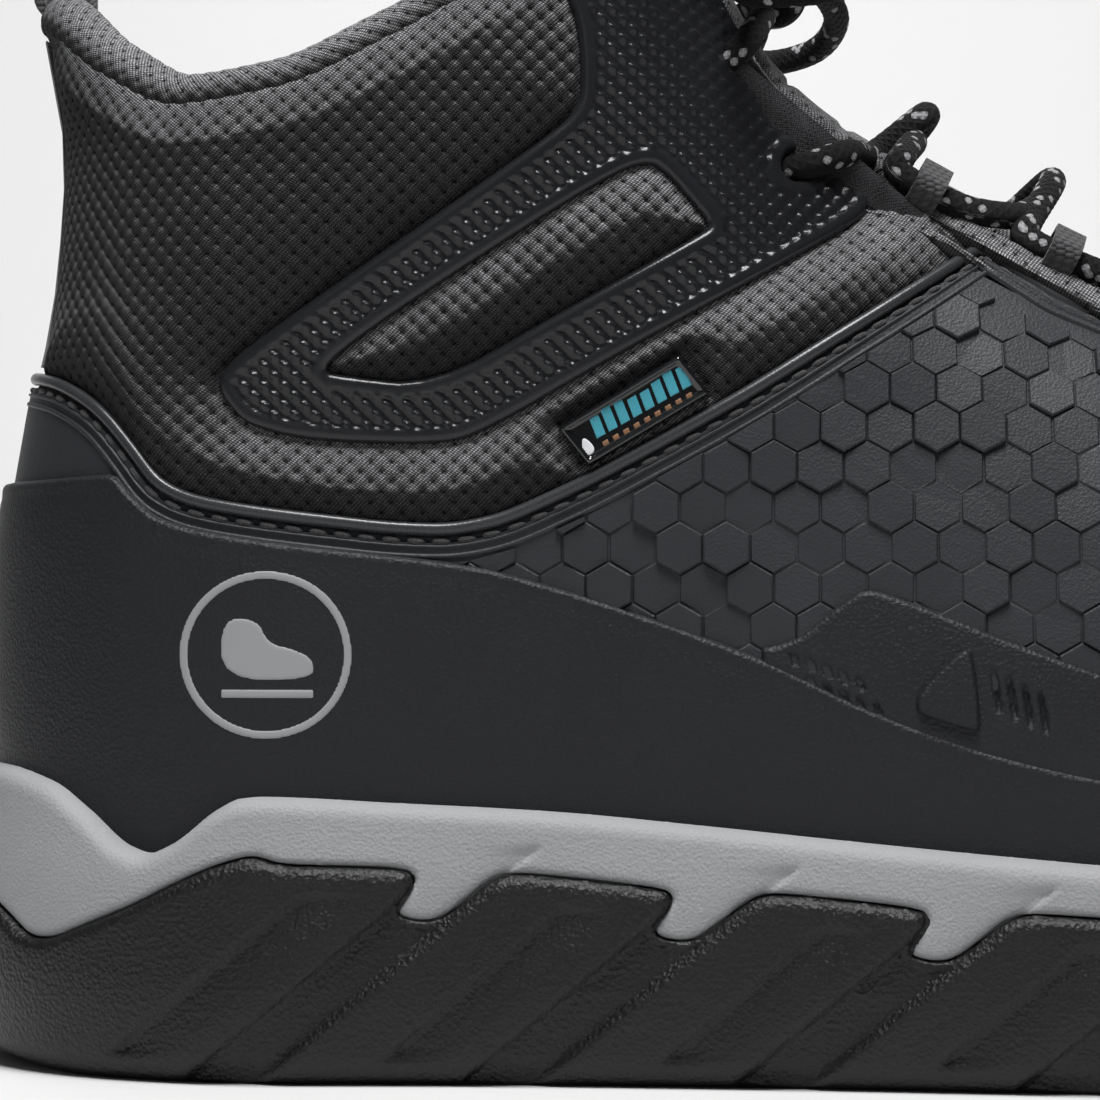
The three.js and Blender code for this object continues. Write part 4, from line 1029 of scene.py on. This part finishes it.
def buildOverlay():
    def field(u, z):
        top = collarLine(u) - 3 - z
        p = sidePoint(u, np.minimum(z, ridge(u) - 0.2), -1)
        gap = np.where(z < ridge(u) - 0.5, throatDistance(p, throatHalf + 1.5), -1)
        return np.minimum(np.minimum(overlayField(u, z), top), np.minimum(gap, eyeletDistance(u, z)))

    field.box = [(38, 90), (136, 170)]

    def relief(u, z, near):
        # scales in a sunk field inside the rim, each with its steep side up
        inner = np.clip((near - overlay["rim"]) / 0.5, 0, 1)
        across, row = overlay["scaleWidth"], overlay["scaleRow"]
        scale = np.zeros(np.shape(u))
        for shift in (0, 0.5):
            du = (u / across + shift) % 1 - 0.5
            dz = ((z + 0.55 * du * across) / row + shift) % 1 - 0.5
            saw = np.clip((dz + 0.32) / 0.5, 0, 1) * np.clip((0.34 - dz) / 0.13, 0, 1)
            scale = np.maximum(scale, saw * np.clip(1 - (du / 0.36) ** 2, 0, 1))
        return inner * (-0.55 + 0.85 * scale)

    bothSides("side_overlay_skin", "film", "overlay_film", ["side_overlay_"], field,
              base=0.25, height=1.25, step=0.34, roundness=1.1, depth=1.6, relief=relief)


meshCloth = {"pitch": 3.0, "row": 2.86, "puff": 3.1, "relief": 0.32}


def clusterHeight(u, v):
    a, b = u / meshCloth["pitch"], v / meshCloth["row"]
    best = np.full(np.shape(u), 9.0)
    for shift in (0, 0.5):
        du = ((a + shift) % 1 - 0.5) * 2
        dv = ((b + shift) % 1 - 0.5) * 2
        best = np.minimum(best, du * du + dv * dv)
    return np.clip(1.15 - best * 1.5, 0, 1) ** 0.5


def topEdge(p, half):
    # Distance below the collar line, or out from the lacing gap of a given half width.
    gap = np.where(p[..., 0] > 93, throatDistance(p, half), 9)
    return np.minimum(collarLine(p[..., 0]) - p[..., 2], gap)


collar = {"outer": 0.9, "inner": -6.6, "throatInner": -1.9, "step": 0.6}


def buildMesh():
    for which, side in sides:
        t = evenAngles(10, 0.42, 0.0, 2.6)
        if which > 0:
            t = 2 * math.pi - t
        low = solveRing(t, lambda p: belowBead(p, 1.5) > 0)
        high = solveRing(t, lambda p: topEdge(p, throatHalf) > 0)
        keep = high > low + 0.05
        t, low, high = t[keep], low[keep], high[keep]

        def lift(base, down, up):
            x, y, z = base[..., 0], base[..., 1], base[..., 2]
            room = np.minimum(np.clip(-overlayField(x, z), 0, None), np.clip(down - 1.6, 0, None))
            room = np.where(x < 26, np.minimum(room, np.clip(np.abs(y) - 8.6, 0, None)), room)
            if which < 0:
                room = np.minimum(room, 0.35 + np.clip(-tagField(x, z), 0, None))
            puff = meshCloth["puff"] * (1 - np.exp(-room / 4.2)) * (1 - 0.25 * np.exp(-room / 14))
            u = sideU(x, z)
            height = 0.1 + puff + clusterHeight(u, z) * meshCloth["relief"] * np.clip(room, 0.15, 1)
            blendIn = np.clip(up / 6, 0, 1) ** 0.7
            height = collar["outer"] + (height - collar["outer"]) * blendIn
            return height - 5 * np.clip(-eyeletDistance(x, z) / 0.5, 0, 1)

        points, _, base = strip(t, low, high, np.linspace(0, 1, 150), lift)
        uv = np.stack([sideU(base[..., 0], base[..., 2]), base[..., 2]], -1)
        shape = Shape()
        shape.grid(points, uv, flip=which > 0)
        made = shape.make("mesh_quarter_skin_" + side)
        finishPiece(made, "mesh", "boot", ["mesh_quarter_" + side])


buildRand()
buildShellBase()
buildTiles()
buildBead()
buildBand()
buildOverlay()
buildMesh()
print("upper ready")


# The sole's wall: its flare from the ground (0) to the top (1), and the foam fingers that run down
# between the rubber lugs. finger starts at its upper rear corner.
wallFlare = curve([(0, 3.0), (0.1, 5.0), (0.35, 6.4), (0.6, 6.1), (0.8, 5.3), (1, 4.7)])
wallTop = 46
finger = [
    (0, 0), (1.5, -1.2), (0.8, -3.0), (-1.3, -5.7), (-0.5, -7.0), (3.2, -7.6), (5.8, -6.8), (8.6, -4.6), (11.6, -2.0),
    (14.0, -0.9), (17.0, -0.6),
]
fingerCorners = [(66.6, 31), (103.1, 28.4), (138.7, 26.0), (175.5, 24), (212, 23.2), (248, 24.4), (282, 27.6)]
lugOutline = [
    (-60, 27), (-6, 27), (4, 26.6), (9, 23), (14, 18.8), (22.9, 23), (28.3, 25.4), (33.7, 28.4), (39.3, 31),
    (43.3, 32.3), (45.6, 32.6), (48.9, 31.4), (56, 31.3),
]
for cornerX, cornerZ in fingerCorners:
    lugOutline += [(cornerX + dx, cornerZ + dz) for dx, dz in finger]
lugOutline += [(306, 32), (318, 36), (340, 38), (420, 38)]


def wallTable():
    t = np.linspace(0.0, math.pi, 2400)
    at = ringPoint(np.full(t.shape, 1.0), t)
    along = ringPoint(np.full(t.shape, 1.0), t + 0.03) - ringPoint(np.full(t.shape, 1.0), t - 0.03)
    out = unit(np.stack([along[:, 1], -along[:, 0], np.zeros(len(t))], -1))
    line = at + out * 5.8
    run = runAlong(line[:, :2])
    start, stop = np.searchsorted(line[:, 0], 45), np.searchsorted(line[:1900, 0], 255)
    u = line[:, 0].copy()
    u[:start] = 45 - (run[start] - run[:start])
    u[stop:] = 255 + (run[stop:] - run[stop])
    return t, u, line


wallT, wallU, wallLine = wallTable()
wallEnds = float(wallU[0]), float(wallU[-1])


def wallPoint(u, z, which, out):
    t = np.interp(u, wallU, wallT)
    flat = np.ravel(t)
    at = ringPoint(np.full(flat.shape, 1.0), flat)
    ahead, behind = (ringPoint(np.full(flat.shape, 1.0), flat + turn) for turn in (0.04, -0.04))
    along = ahead - behind
    normal = unit(np.stack([along[:, 1], -along[:, 0], np.zeros(len(flat))], -1))
    low = groundLine(at[:, 0])
    level = np.clip((np.ravel(z) - low) / (wallTop - low), 0, 1)
    place = at + normal * (wallFlare(level) + np.ravel(out))[:, None]
    place[:, 2] = np.ravel(z)
    if which > 0:
        place[:, 1] = 2 * midline(at[:, 0]) - place[:, 1]
    return place.reshape(*np.shape(u), 3)


def wallX(u):
    # x in side view of a place on the wall
    return np.interp(u, wallU, wallLine[:, 0])


def sideOutline(points):
    # Moves an outline drawn in side view on to the unrolled wall.
    points = np.array(points, float)
    u = np.interp(points[:, 0], wallLine[:, 0], wallU)
    u = np.where(points[:, 0] < wallLine[0, 0], wallEnds[0] - 30 + points[:, 0], u)
    u = np.where(points[:, 0] > wallLine[-1, 0], wallEnds[1] + points[:, 0] - wallLine[-1, 0], u)
    return np.stack([u, points[:, 1]], -1)


def wallPatch(shape, field, which, low, high, step, out, depth):
    flat, faces, rim = fieldPatch(field, (wallEnds[0], low), (wallEnds[1] - step, high), step)
    flat[:, 0] = np.where(flat[:, 0] > wallEnds[1] - 1.05 * step, wallEnds[1], flat[:, 0])
    near = np.clip(field(flat[:, 0], flat[:, 1]), 0, None)
    addPatch(shape, flat, faces, rim, which, wallPoint, out(flat[:, 0], flat[:, 1], near), depth)


sole = {
    "foamLift": 1.1, "topRound": 2.6, "facetDepth": 0.8,
    "lugLift": 1.55, "lugRise": 1.3, "brow": 0.12, "channelDepth": 1.45, "stepDepth": 0.9,
}


def buildSole():
    lugs = softened(sideOutline(lugOutline), 2, closed=False)
    far = wallEnds[1] + 60
    under = [(far, lugs[-1, 1]), (far, -30), (-120, -30), (-120, lugs[0, 1])]
    belowLugs = inside(np.concatenate([lugs, under]))

    def midsoleField(u, z):
        return np.minimum(-belowLugs(u, z) - 0.2, (midsoleLine(wallX(u)) + 0.9 - z) * 0.9)

    def midsoleOut(u, z, near):
        # flat facets sunk into each finger, stepping back up along a slanted line
        sunk = np.zeros(np.shape(u))
        for cornerX, cornerZ in fingerCorners:
            dx, dz = wallX(u) - cornerX, z - cornerZ
            left = dx - 14 - (dz + 1.5) * 1.22
            window = np.clip((3.6 - dz) / 1.5, 0, 1) * np.clip((dz + 9) / 2, 0, 1) * (dx > -4) * (dx < 24)
            sunk += window * np.clip(-left / 0.5, 0, 1) * np.exp(np.minimum(left, 0) / 4.5)
        top = np.clip((midsoleLine(wallX(u)) + 0.9 - z) * 0.9, 0, None)
        rim = sole["topRound"] * (rounded(top, 2.4) - 1)
        return sole["foamLift"] + 0.5 * rounded(near, 1.2) + rim - sole["facetDepth"] * sunk

    def outsoleField(u, z):
        return np.minimum(belowLugs(u, z) - 0.1, z - groundLine(wallX(u)) - 0.1)

    def outsoleOut(u, z, near):
        # each lug leans forward: a channel runs down and back from every finger, and a step splits the lug
        cut = np.zeros(np.shape(u))
        x = wallX(u)
        for cornerX, cornerZ in [(30.1, 33), *fingerCorners]:
            w = x - cornerX - 1.19 * (z - cornerZ)
            channel = np.clip((w - 4.2) / 0.6, 0, 1) * np.clip((16.0 - w) / 1.8, 0, 1)
            step = np.clip((w - 28.6) / 0.6, 0, 1) * np.clip((38 - w) / 8, 0, 1)
            brow = sole["brow"] * np.exp(-((w - 17.2) ** 2)) * (cornerX > 40)
            depth = sole["channelDepth"] * np.clip((near - 0.1) / 0.8, 0, 1) * (cornerX > 40)
            cut = np.maximum(cut, channel * depth) - brow
            cut = np.maximum(cut, sole["stepDepth"] * step * np.clip((near - 3.5) / 1.2, 0, 1))
        return sole["lugLift"] + sole["lugRise"] * rounded(near, 1.8) - cut

    for which, side in sides:
        shape = Shape()
        wallPatch(shape, midsoleField, which, 17, 47, 0.5, midsoleOut, 4.0)
        finishPiece(shape.make("midsole_wall_" + side), "foam", "boot")
        shape = Shape()
        wallPatch(shape, outsoleField, which, 0, 39, 0.7, outsoleOut, 3.2)
        finishPiece(shape.make("outsole_wall_" + side), "rubber", "boot")


def ringField(centre, radius, width):
    def field(u, z):
        away = np.hypot(u - centre[0], z - centre[1])
        return width / 2 - np.abs(away - radius + width / 2)

    field.box = [(centre[0] - radius, centre[1] - radius), (centre[0] + radius, centre[1] + radius)]
    return field


heelMark = {
    "centre": (46.86, 61.14), "radius": 12, "line": 1.2, "bar": (-6.2, 6.6, -6.2, -4.9),
    "sign": [(-6.2, -3.6), (6.6, -3.6), (6.6, -0.6), (3.8, 0.9), (0.4, 1.6), (-1.2, 5.2), (-6.2, 5.2)],
    "print": {"base": layers["rand"] - 0.05, "height": 0.12, "step": 0.3, "roundness": 0.15, "depth": 0.3},
}
tagPrint = {"base": 2.02, "height": 0.1, "step": 0.16, "roundness": 0.1, "depth": 0.2, "margin": 0.5}


def buildMarks():
    # a printed ring with a plain toe-cap sign on the heel
    centre, flat = heelMark["centre"], heelMark["print"]
    left, right, low, high = heelMark["bar"]
    bar = [(left, low), (right, low), (right, high), (left, high)]
    for which, side in sides:
        shape = Shape()
        sidePatch(shape, ringField(centre, heelMark["radius"], heelMark["line"]), which, **flat)
        sidePatch(shape, softened(np.add(heelMark["sign"], centre), 2), which, **flat)
        sidePatch(shape, np.add(bar, centre), which, **flat)
        finishPiece(shape.make("heel_mark_" + side), "mark", "boot")

    # a glossy tag in a bevelled frame, with a drop and two rows of bars printed on it
    def framed(u, z, near):
        return -0.55 * np.clip((near - 0.75) / 0.25, 0, 1)

    shape = Shape()
    rimOutline = softened(tagOutline, 1) * 0.25 + tagOutline.repeat(2, 0) * 0.75
    sidePatch(shape, rimOutline, -1, 1.1, 1.5, 0.25, 0.5, 1.7, framed)
    finishPiece(shape.make("side_tag_frame"), "tag", "boot", ["side_tag"])
    along, up = np.array(tag["along"]), np.array(tag["up"])

    def onTag(points):
        points = np.array(points, float)
        return tag["corner"] + points[:, :1] * unit(along) + points[:, 1:] * unit(up)

    waves, dashes, drop = Shape(), Shape(), Shape()
    for k in range(8):
        a, high = 4.2 + k * 2.0, 6.0 + 0.4 * math.sin(k * 1.3)
        sidePatch(waves, onTag([(a, 2.9), (a + 1.5, 2.9), (a + 1.8, high), (a + 0.3, high)]), -1, **tagPrint)
    for k in range(9):
        a = 4.6 + k * 1.7
        sidePatch(dashes, onTag([(a, 1.35), (a + 0.95, 1.35), (a + 0.95, 2.15), (a, 2.15)]), -1, **tagPrint)
    dropOutline = onTag([(1.7, 1.3), (3.1, 1.3), (3.4, 2.5), (2.5, 4.4), (1.5, 2.5)])
    sidePatch(drop, softened(dropOutline, 2), -1, **tagPrint)
    finishPiece(waves.make("tag_waves"), "teal", "boot")
    finishPiece(dashes.make("tag_dashes"), "amber", "boot")
    finishPiece(drop.make("tag_drop"), "pale", "boot")


buildSole()
buildMarks()
print("sole and marks ready")


tonguePad = {
    "low": 7.4, "high": 17.05, "half": 24, "middle": 10.2, "under": -9.4, "wing": -6.8, "crown": 1.6,
    "narrowFrom": 15.6, "narrowBy": 0.55, "channelDepth": 0.7,
}
gusset = {"low": 7.15, "high": 13.6, "inner": 11.6, "outer": 19.5, "innerLift": -5, "rise": 2.4, "fold": 0.5}


def edgeLine():
    # The upper's top edge, from the front of the lacing gap round the heel and back.
    t = evenAngles(10, 0.3, 0.0, 2.62)
    t = np.concatenate([t[::-1], 2 * math.pi - t[1:]])
    q = solveRing(t, lambda p: topEdge(p, throatHalf) > 0)
    edge, normal = ringPoint(q, t), ringNormal(q, t)
    run = runAlong(edge)
    even = np.arange(0, run[-1], collar["step"])
    return even, readAt(even, run, edge), unit(readAt(even, run, normal))


def buildCollar():
    run, edge, normal = edgeLine()
    tangent = unit(np.gradient(edge, axis=0))
    beyond = np.cross(tangent, normal)
    beyond = beyond * np.sign(beyond[len(beyond) // 2, 2])
    beyond = unit(averaged(beyond, 7))
    ahead = np.clip((edge[:, 0] - 98) / 22, 0, 1)
    inner = collar["inner"] + (collar["throatInner"] - collar["inner"]) * ahead
    reach = (collar["outer"] - inner) / 2
    a = np.linspace(-0.15, math.pi + 0.3, 30)
    v = a[None] * reach[:, None]
    relief = clusterHeight(run[:, None], v) * meshCloth["relief"]
    lift = (collar["outer"] + inner)[:, None] / 2 + (reach[:, None] + relief) * np.cos(a)
    out = (reach[:, None] + relief) * np.sin(a)
    points = edge[:, None] + normal[:, None] * lift[..., None] + beyond[:, None] * out[..., None]
    shape = Shape()
    shape.grid(points, np.stack(np.broadcast_arrays(run[:, None], v), -1))
    roll = shape.make("collar_roll")
    finishPiece(roll, "mesh", "boot", ["collar_foam"])

    t = evenAngles(8, 1.8)
    low = np.full(len(t), 1.0)
    high = solveRing(t, lambda p: topEdge(p, tonguePad["half"] - 1) > 0)

    def lift(base, down, up):
        quilt = 0.5 * np.sin(base[..., 2] / 4.2) * np.clip((base[..., 2] - 95) / 20, 0, 1)
        return collar["inner"] + 0.2 + quilt * np.clip(up / 8, 0, 1)

    points, uv, _ = strip(t, low, high, np.linspace(0, 1, 80), lift)
    shape = Shape()
    shape.grid(points, uv, flip=True)
    finishPiece(shape.make("lining_sleeve"), "lining", "boot", ["collar_lining"])


def instepPoint(q, y, lift):
    q, y, lift = np.broadcast_arrays(*(np.asarray(v, float) for v in (q, y, lift)))
    near, far = np.full(q.shape, math.pi / 2), np.full(q.shape, 1.5 * math.pi)
    for _ in range(40):
        t = (near + far) / 2
        short = ringPoint(q, t)[..., 1] < throatMid + y
        near, far = np.where(short, t, near), np.where(short, far, t)
    return ringPoint(q, near) + ringNormal(q, near) * lift[..., None]


def buildTongue():
    q = np.linspace(tonguePad["low"], tonguePad["high"], 150)
    top = np.linspace(-1, 1, 61)
    under = np.linspace(1, -1, 25)[1:-1]
    taper = np.clip((q - tonguePad["narrowFrom"]) / (tonguePad["high"] - tonguePad["narrowFrom"]), 0, 1)
    half = tonguePad["half"] * np.sqrt(1 - tonguePad["narrowBy"] * taper ** 2)
    half = half * np.clip(0.55 + (q - tonguePad["low"]) / 2.2, 0, 1)
    across = np.concatenate([top, under])[None] * half[:, None]
    pad = 1 / (1 + np.exp((np.abs(across) - tonguePad["middle"]) / 0.7))
    channel = tonguePad["channelDepth"] * np.exp(-(((q[:, None] * 1.35) % 1 - 0.5) / 0.07) ** 2)
    crown = tonguePad["crown"] * np.clip(1 - (across / tonguePad["middle"]) ** 2, 0, 1) - channel
    upper = tonguePad["wing"] + (0.6 - tonguePad["wing"] + crown) * pad
    ends = rounded(np.minimum(q - tonguePad["low"], tonguePad["high"] - q), 0.35)[:, None]
    edge = rounded((1 - np.abs(across) / half[:, None]) * 24, 1.5)
    middle = (tonguePad["under"] + tonguePad["wing"]) / 2
    isTop = np.arange(across.shape[1])[None] < len(top)
    lift = middle + (np.where(isTop, upper, tonguePad["under"]) - middle) * ends * edge
    points = instepPoint(q[:, None], across, lift)
    run = runAlong(points[:, len(top) // 2])
    uv = np.stack(np.broadcast_arrays(across, run[:, None]), -1)
    shape = Shape()
    shape.grid(points, uv, closed=True, flip=True)
    count = across.shape[1]
    for row, turn in ((0, 1), (len(q) - 1, -1)):
        centre = points[row].mean(0)
        fan = np.array([[i, (i + 1) % count, count] for i in range(count)])[:, ::turn]
        centreUv = uv[row].mean(0)
        shape.add(np.concatenate([points[row], [centre]]), [fan], np.concatenate([uv[row], [centreUv]]))
    made = shape.make("tongue_pad")
    finishPiece(made, "mesh", "tongue", ["tongue"])


def buildGusset():
    # thin cloth beside the tongue, from its padded middle out to the quarters
    q, part = np.linspace(gusset["low"], gusset["high"], 70)[:, None], np.linspace(0, 1, 24)[None]
    inner = gusset["inner"] * np.clip((q - gusset["low"] - 0.2) / 0.5, 0, 1)
    across = inner + (gusset["outer"] - inner) * part
    lift = gusset["innerLift"] + gusset["rise"] * part + gusset["fold"] * np.sin(part * math.pi * 2)
    shape = Shape()
    for which in (-1, 1):
        uv = np.stack(np.broadcast_arrays(which * across, q * 15), -1)
        shape.grid(instepPoint(q, which * across, lift), uv, flip=which > 0)
    finishPiece(shape.make("tongue_gusset"), "lining", "boot")


buildCollar()
buildGusset()
buildTongue()
print("collar and tongue ready")


def smoothPath(points, step):
    # An even line through a few points.
    points = np.array(points, float)
    ext = np.concatenate([2 * points[:1] - points[1:2], points, 2 * points[-1:] - points[-2:-1]])
    out = []
    for p0, p1, p2, p3 in zip(ext, ext[1:], ext[2:], ext[3:]):
        bend, twist = 2 * p0 - 5 * p1 + 4 * p2 - p3, 3 * p1 - p0 - 3 * p2 + p3
        count = max(2, int(np.linalg.norm(p2 - p1) / step))
        for k in np.linspace(0, 1, count, endpoint=False):
            out.append(0.5 * (2 * p1 + (p2 - p0) * k + bend * k ** 2 + twist * k ** 3))
    out.append(points[-1])
    out = np.array(out)
    run = runAlong(out)
    return readAt(np.linspace(0, run[-1], max(3, int(run[-1] / step))), run, out)


def frontPoint(q, y, lift):
    return instepPoint(q, y, lift).reshape(3)


def sideSpot(x, z, which, lift):
    return sideLift(np.array([x]), np.array([z]), which, np.array([lift]))[0]


lacing = {
    "rows": (9.2, 10, 10.95), "loopY": 15.5, "holes": ((122.9, 131.9), (113.2, 147)),
    "underCrossing": 5.7, "overCrossing": 10.3, "behind": -3.75, "knotRing": 14.1, "knotLift": 8,
}
knotAt = frontPoint(lacing["knotRing"], 0, lacing["knotLift"])


def laceHalf(which, crossing):
    rows, loopY, behind = lacing["rows"], lacing["loopY"], lacing["behind"]
    points, here = [frontPoint(rows[0] - 0.36, which * 5, 5.0)], which
    inLoop = ((-7.6, loopY - 3.2, 4.4), (-4.2, loopY, 3.8), (4.2, loopY, 3.8), (7.6, loopY - 3.2, 4.4))
    for row in rows:
        ring = 1 / float(frontReach(row) - frontReach(row + 1))
        points += [frontPoint(row + along * ring, here * y, lift) for along, y, lift in inLoop]
        points.append(frontPoint(row + 10.8 * ring, 0, crossing))
        here = -here
    (x1, z1), (x2, z2) = lacing["holes"]
    throughHoles = (
        (x1 + 13, z1 + 4.0, 4.2), (x1 + 6.5, z1 + 0.4, 3.6), (x1 + 2.0, z1 - 0.5, 2.6), (x1 - 0.3, z1 + 0.2, -0.6),
        (x1 - 2.2, z1 + 3.4, behind), (x2 + 2.4, z2 - 3.4, behind), (x2, z2, -0.7), (x2 + 0.4, z2 + 2.4, 3.2),
    )
    points += [sideSpot(x, z, here, lift) for x, z, lift in throughHoles]
    return points + [frontPoint(13.7, here * 13, 4.8), frontPoint(lacing["knotRing"] - 0.3, here * 7.5, 4.4)]


def laceTube(name, points, replaced):
    line = smoothPath(points, lace["step"])
    along = (np.arange(len(line)) * lace["step"] * math.pi / lace["plait"])[:, None]
    turn = np.linspace(0, 2 * math.pi, lace["sides"], endpoint=False)[None] * lace["strands"]
    plait = 0.5 * np.abs(np.sin(along + turn)) + 0.5 * np.abs(np.sin(along - turn))
    shape = Shape()
    sweepTube(shape, line, lace["radius"] * (0.95 + 0.07 * plait), lace["sides"])
    made = shape.make(name)
    finishPiece(made, "lace", "boot", [replaced])
    return made, line


def buildLace():
    # one side of each crossing goes under, the other over
    first, second = laceHalf(-1, lacing["underCrossing"]), laceHalf(1, lacing["overCrossing"])
    laceTube("lace_run", [*first[::-1], *second], "lace")


bow = [(2, 7.4, 2.6), (5.5, 13, 3.6), (9.6, 20, 2.6), (12, 27.5, -0.4), (9.6, 34.8, -3.8), (3, 38, -5.6),
       (-3.6, 34.8, -5.4), (-6, 27.5, -3.6), (-4.4, 20, -1.4), (-1.4, 13, -0.6), (1, 8.6, -1)]
tails = {
    "medial": [(-2.6, 6.6, 3.8), (-5, 17, 5), (-8, 31, 1), (-9.5, 42, -12), (-10.5, 46.5, -34), (-11, 46, -58)],
    "lateral": [(-2.6, 6.6, 3.8), (-9, 19, 8.5), (-20, 31, 13), (-31, 33, 11.5), (-37.5, 24.5, 3.5), (-40, 20, -14),
                (-41, 18.5, -32), (-41, 18, -48)],
}


knotStrands = (
    ((0.6, -8, -1.4), (1.2, -4, -0.6), (0.4, 0, 0.3), (-0.4, 4, 1.4), (0.2, 8, 1.8)),
    ((0.2, -8, 2.2), (-0.6, -4, 1.2), (-1.2, 0, -0.4), (0.6, 4, -1.6), (1.2, 8, -2.0)),
)


def buildBow():
    for which, side in sides:
        turned = np.array([1, which, 1])
        made, line = laceTube("bow_" + side, knotAt + np.array(bow) * turned, "bow_loop_" + side)
        made, line = laceTube("tail_" + side, knotAt + np.array(tails[side]) * turned, "lace_end_" + side)
    # the turn of lace round the middle of the knot, over the two crossed strands
    ring = lacing["knotRing"]
    up = unit(frontPoint(ring + 0.4, 0, 0) - frontPoint(ring - 0.4, 0, 0))
    out = unit(np.cross([0, 1, 0], up))
    out = out if out[0] > 0 else -out
    a = np.linspace(0, 2 * math.pi, 40)
    turn = np.stack([3.4 * np.sin(a), 0.9 * np.sin(a / 2) - 0.4, 3.6 * np.cos(a)], -1)
    shape = Shape()
    for strand in (turn, *knotStrands):
        line = smoothPath(knotAt + np.array(strand) @ [out, [0, 1, 0], up], lace["step"])
        sweepTube(shape, line, lace["radius"] * 0.98, lace["sides"])
    finishPiece(shape.make("knot_turns"), "lace", "boot", ["lace_knot"])


buildLace()
buildBow()
print("lace ready")

# carried-over CAD nodes keep their shape and get their own finish
carried = {
    "outsole": "rubber", "midsole": "foam", "shank": "composite", "lasting_board": "board", "footbed": "liningSolid",
    "heel_stiffener": "board", "toe_cap": "composite", "toe_cap_edge_strip": "openFoam", "mesh_vamp": "meshSolid",
    "waterproof_bootie": "liningSolid", "heel_strip": "webbing", "heel_pull_loop": "webbing",
    "tongue_pull_loop": "webbing", "aglet_lateral": "tip", "aglet_medial": "tip",
}
for which in ("lateral", "medial"):
    for number in "123":
        carried["lace_loop_" + which + "_" + number] = "webbing"
for name, look in carried.items():
    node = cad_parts[name]
    node.data.materials.clear()
    node.data.materials.append(looks[look])
